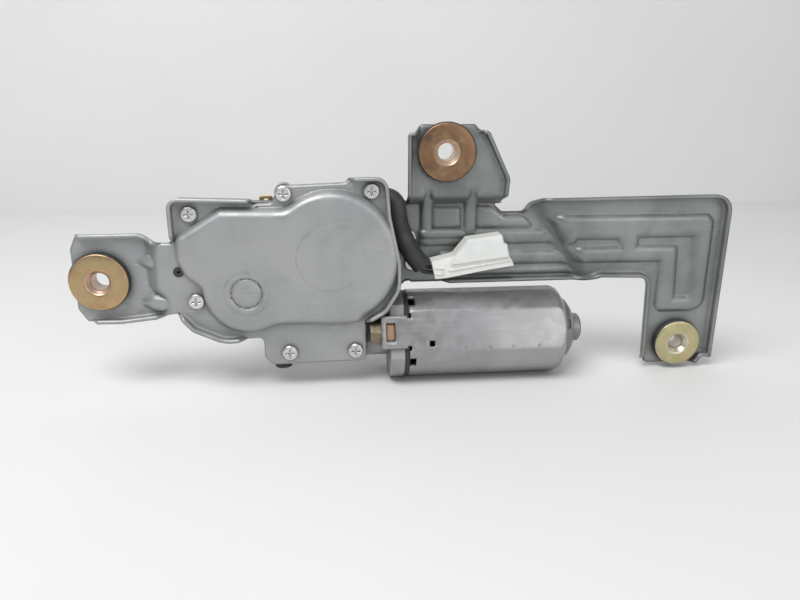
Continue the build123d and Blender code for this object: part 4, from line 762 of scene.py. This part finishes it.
for spot, bore, wide in (("left", 4.2, 14.0), ("top", 4.2, 14.0), ("right", 3.6, 12.3)):
    sleeve = "bush_sleeve_" + spot
    low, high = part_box(sleeve)
    centre = ((low.x + high.x) / 2, low.y, (low.z + high.z) / 2)
    profile = washer_profile(bore, wide, (high.y - low.y) / MM)
    stand_in(lathe("rolled_washer_" + spot, centre, profile, own_material(sleeve)), sleeve)


# ---------------------------------------------------------------- connector shell
def moulded(name, layers, mat):
    """A moulded piece of flat layers, each with its outline and lower and upper level, with softened edges."""
    bm = bmesh.new()
    for outline, *levels in layers:
        rows = [[bm.verts.new((x * MM, -level * MM, y * MM)) for x, y in outline] for level in levels]
        bm.faces.new(rows[0])
        bm.faces.new(rows[1][::-1])
        for i in range(len(outline)):
            j = (i + 1) % len(outline)
            bm.faces.new((rows[0][i], rows[0][j], rows[1][j], rows[1][i]))
    bmesh.ops.recalc_face_normals(bm, faces=bm.faces)
    obj = made_from(bm, name, mat, smooth_faces=False)
    rounding = obj.modifiers.new("soft edges", "BEVEL")
    rounding.width = 0.35 * MM
    rounding.segments = 2
    return obj


SHELL = [(90.9, 11.2), (102.6, 13.9), (109.1, 22.1), (126.5, 24.2), (127.6, 20.0), (129.2, 19.4), (130.7, 13.0),
         (131.8, 11.5), (133.2, 8.3), (119.4, 6.3), (98.8, 2.6), (92.9, 2.2)]
UPPER = [(100.8, 9.6), (103.1, 13.9), (109.4, 21.6), (126.2, 23.7), (127.2, 19.7), (128.7, 19.0), (130.2, 13.2)]
RIDGE = [(99.5, 7.2), (130.9, 11.9), (131.6, 11.0), (99.8, 6.0)]
WINDOW = [[(92.5, 8.3), (97.3, 8.2), (97.3, 7.4), (92.5, 7.5)], [(96.5, 7.7), (97.3, 7.7), (97.3, 4.6), (96.5, 4.6)],
          [(92.6, 5.2), (97.0, 5.2), (97.0, 4.5), (92.6, 4.5)]]
BACK, FRONT = 47.7, 57.6
ROOT = FRONT - 0.5          # raised forms start this deep in the shell
layers = [(SHELL, BACK, FRONT), (UPPER, ROOT, FRONT + 1.0), (RIDGE, ROOT, FRONT + 0.55)]
layers += [(bar, ROOT, FRONT + 0.6) for bar in WINDOW]
stand_in(moulded("connector_shell", layers, own_material("connector_housing")), "connector_housing")


# ---------------------------------------------------------------- floor and backdrop
floor_z = before[0].z


def panel(name, corners, colour, rough, one_sided=False):
    """A flat sheet of the set; a one-sided one is clear from its back, so that the object is seen from behind."""
    mesh = bpy.data.meshes.new(name)
    mesh.from_pydata(corners, [], [range(len(corners))])
    g = Graph(name + "_paint")
    cloud = g.noise(0.004, 3.0, 0.5)
    shade = g.mix(g.ramp(cloud, 0.3, 0.7), scaled(colour, 0.97), colour)
    mesh.materials.append(g.finish(shade, rough))
    if one_sided:
        choice = g.add("ShaderNodeMixShader")
        g.link(g.add("ShaderNodeNewGeometry").outputs["Backfacing"], choice.inputs[0])
        g.link(g.bsdf.outputs[0], choice.inputs[1])
        g.link(g.add("ShaderNodeBsdfTransparent").outputs[0], choice.inputs[2])
        g.link(choice.outputs[0], g.out.inputs[0])
    put_in_scene(name, mesh)


WALL_Y, REACH = 0.46, 6     # metres
foot = [(-REACH, WALL_Y, floor_z), (REACH, WALL_Y, floor_z)]
panel("floor", [(-REACH, -REACH, floor_z), (REACH, -REACH, floor_z), *foot[::-1]], (0.78, 0.78, 0.772), 0.55)
panel("backdrop", [*foot, (REACH, WALL_Y, REACH), (-REACH, WALL_Y, REACH)], (0.77, 0.77, 0.762), 0.8,
      one_sided=True)


# ---------------------------------------------------------------- light and camera
world = bpy.data.worlds.new("studio")
world.use_nodes = True
background = world.node_tree.nodes["Background"]
background.inputs["Color"].default_value = (0.95, 0.97, 1.0, 1)
background.inputs["Strength"].default_value = 0.40
bpy.context.scene.world = world


def lamp(name, place, target, size, power):
    """A rectangular lamp that looks at its target; metres and watts."""
    light = bpy.data.lights.new(name, "AREA")
    light.shape = "RECTANGLE"
    light.size, light.size_y = size
    light.energy = power
    obj = put_in_scene(name, light)
    obj.location = place
    obj.rotation_mode = "QUATERNION"
    obj.rotation_quaternion = (Vector(place) - Vector(target)).to_track_quat("Z", "Y")


lamp("key", (-0.28, -0.52, 0.95), (0.06, 0.0, 0.0), (0.8, 0.55), 10.5)
lamp("fill", (0.7, -1.0, 0.35), (0.1, 0.0, 0.0), (0.7, 0.7), 2.6)

CAMERA_AT = (0.042884, -0.394389, 0.098176)
RIGHT = Vector((0.99548, -0.09497, 0.0))
UP = Vector((0.02847, 0.29847, 0.95399))
AHEAD = Vector((0.09060, 0.94968, -0.29983))
camera = put_in_scene("camera", bpy.data.cameras.new("camera"))
camera.data.lens = 31.5
camera.data.sensor_width = 36
camera.data.clip_start = 0.01
camera.matrix_world = Matrix.Translation(CAMERA_AT) @ Matrix((RIGHT, UP, -AHEAD)).transposed().to_4x4()
bpy.context.scene.camera = camera
bpy.context.scene.view_settings.view_transform = "Standard"
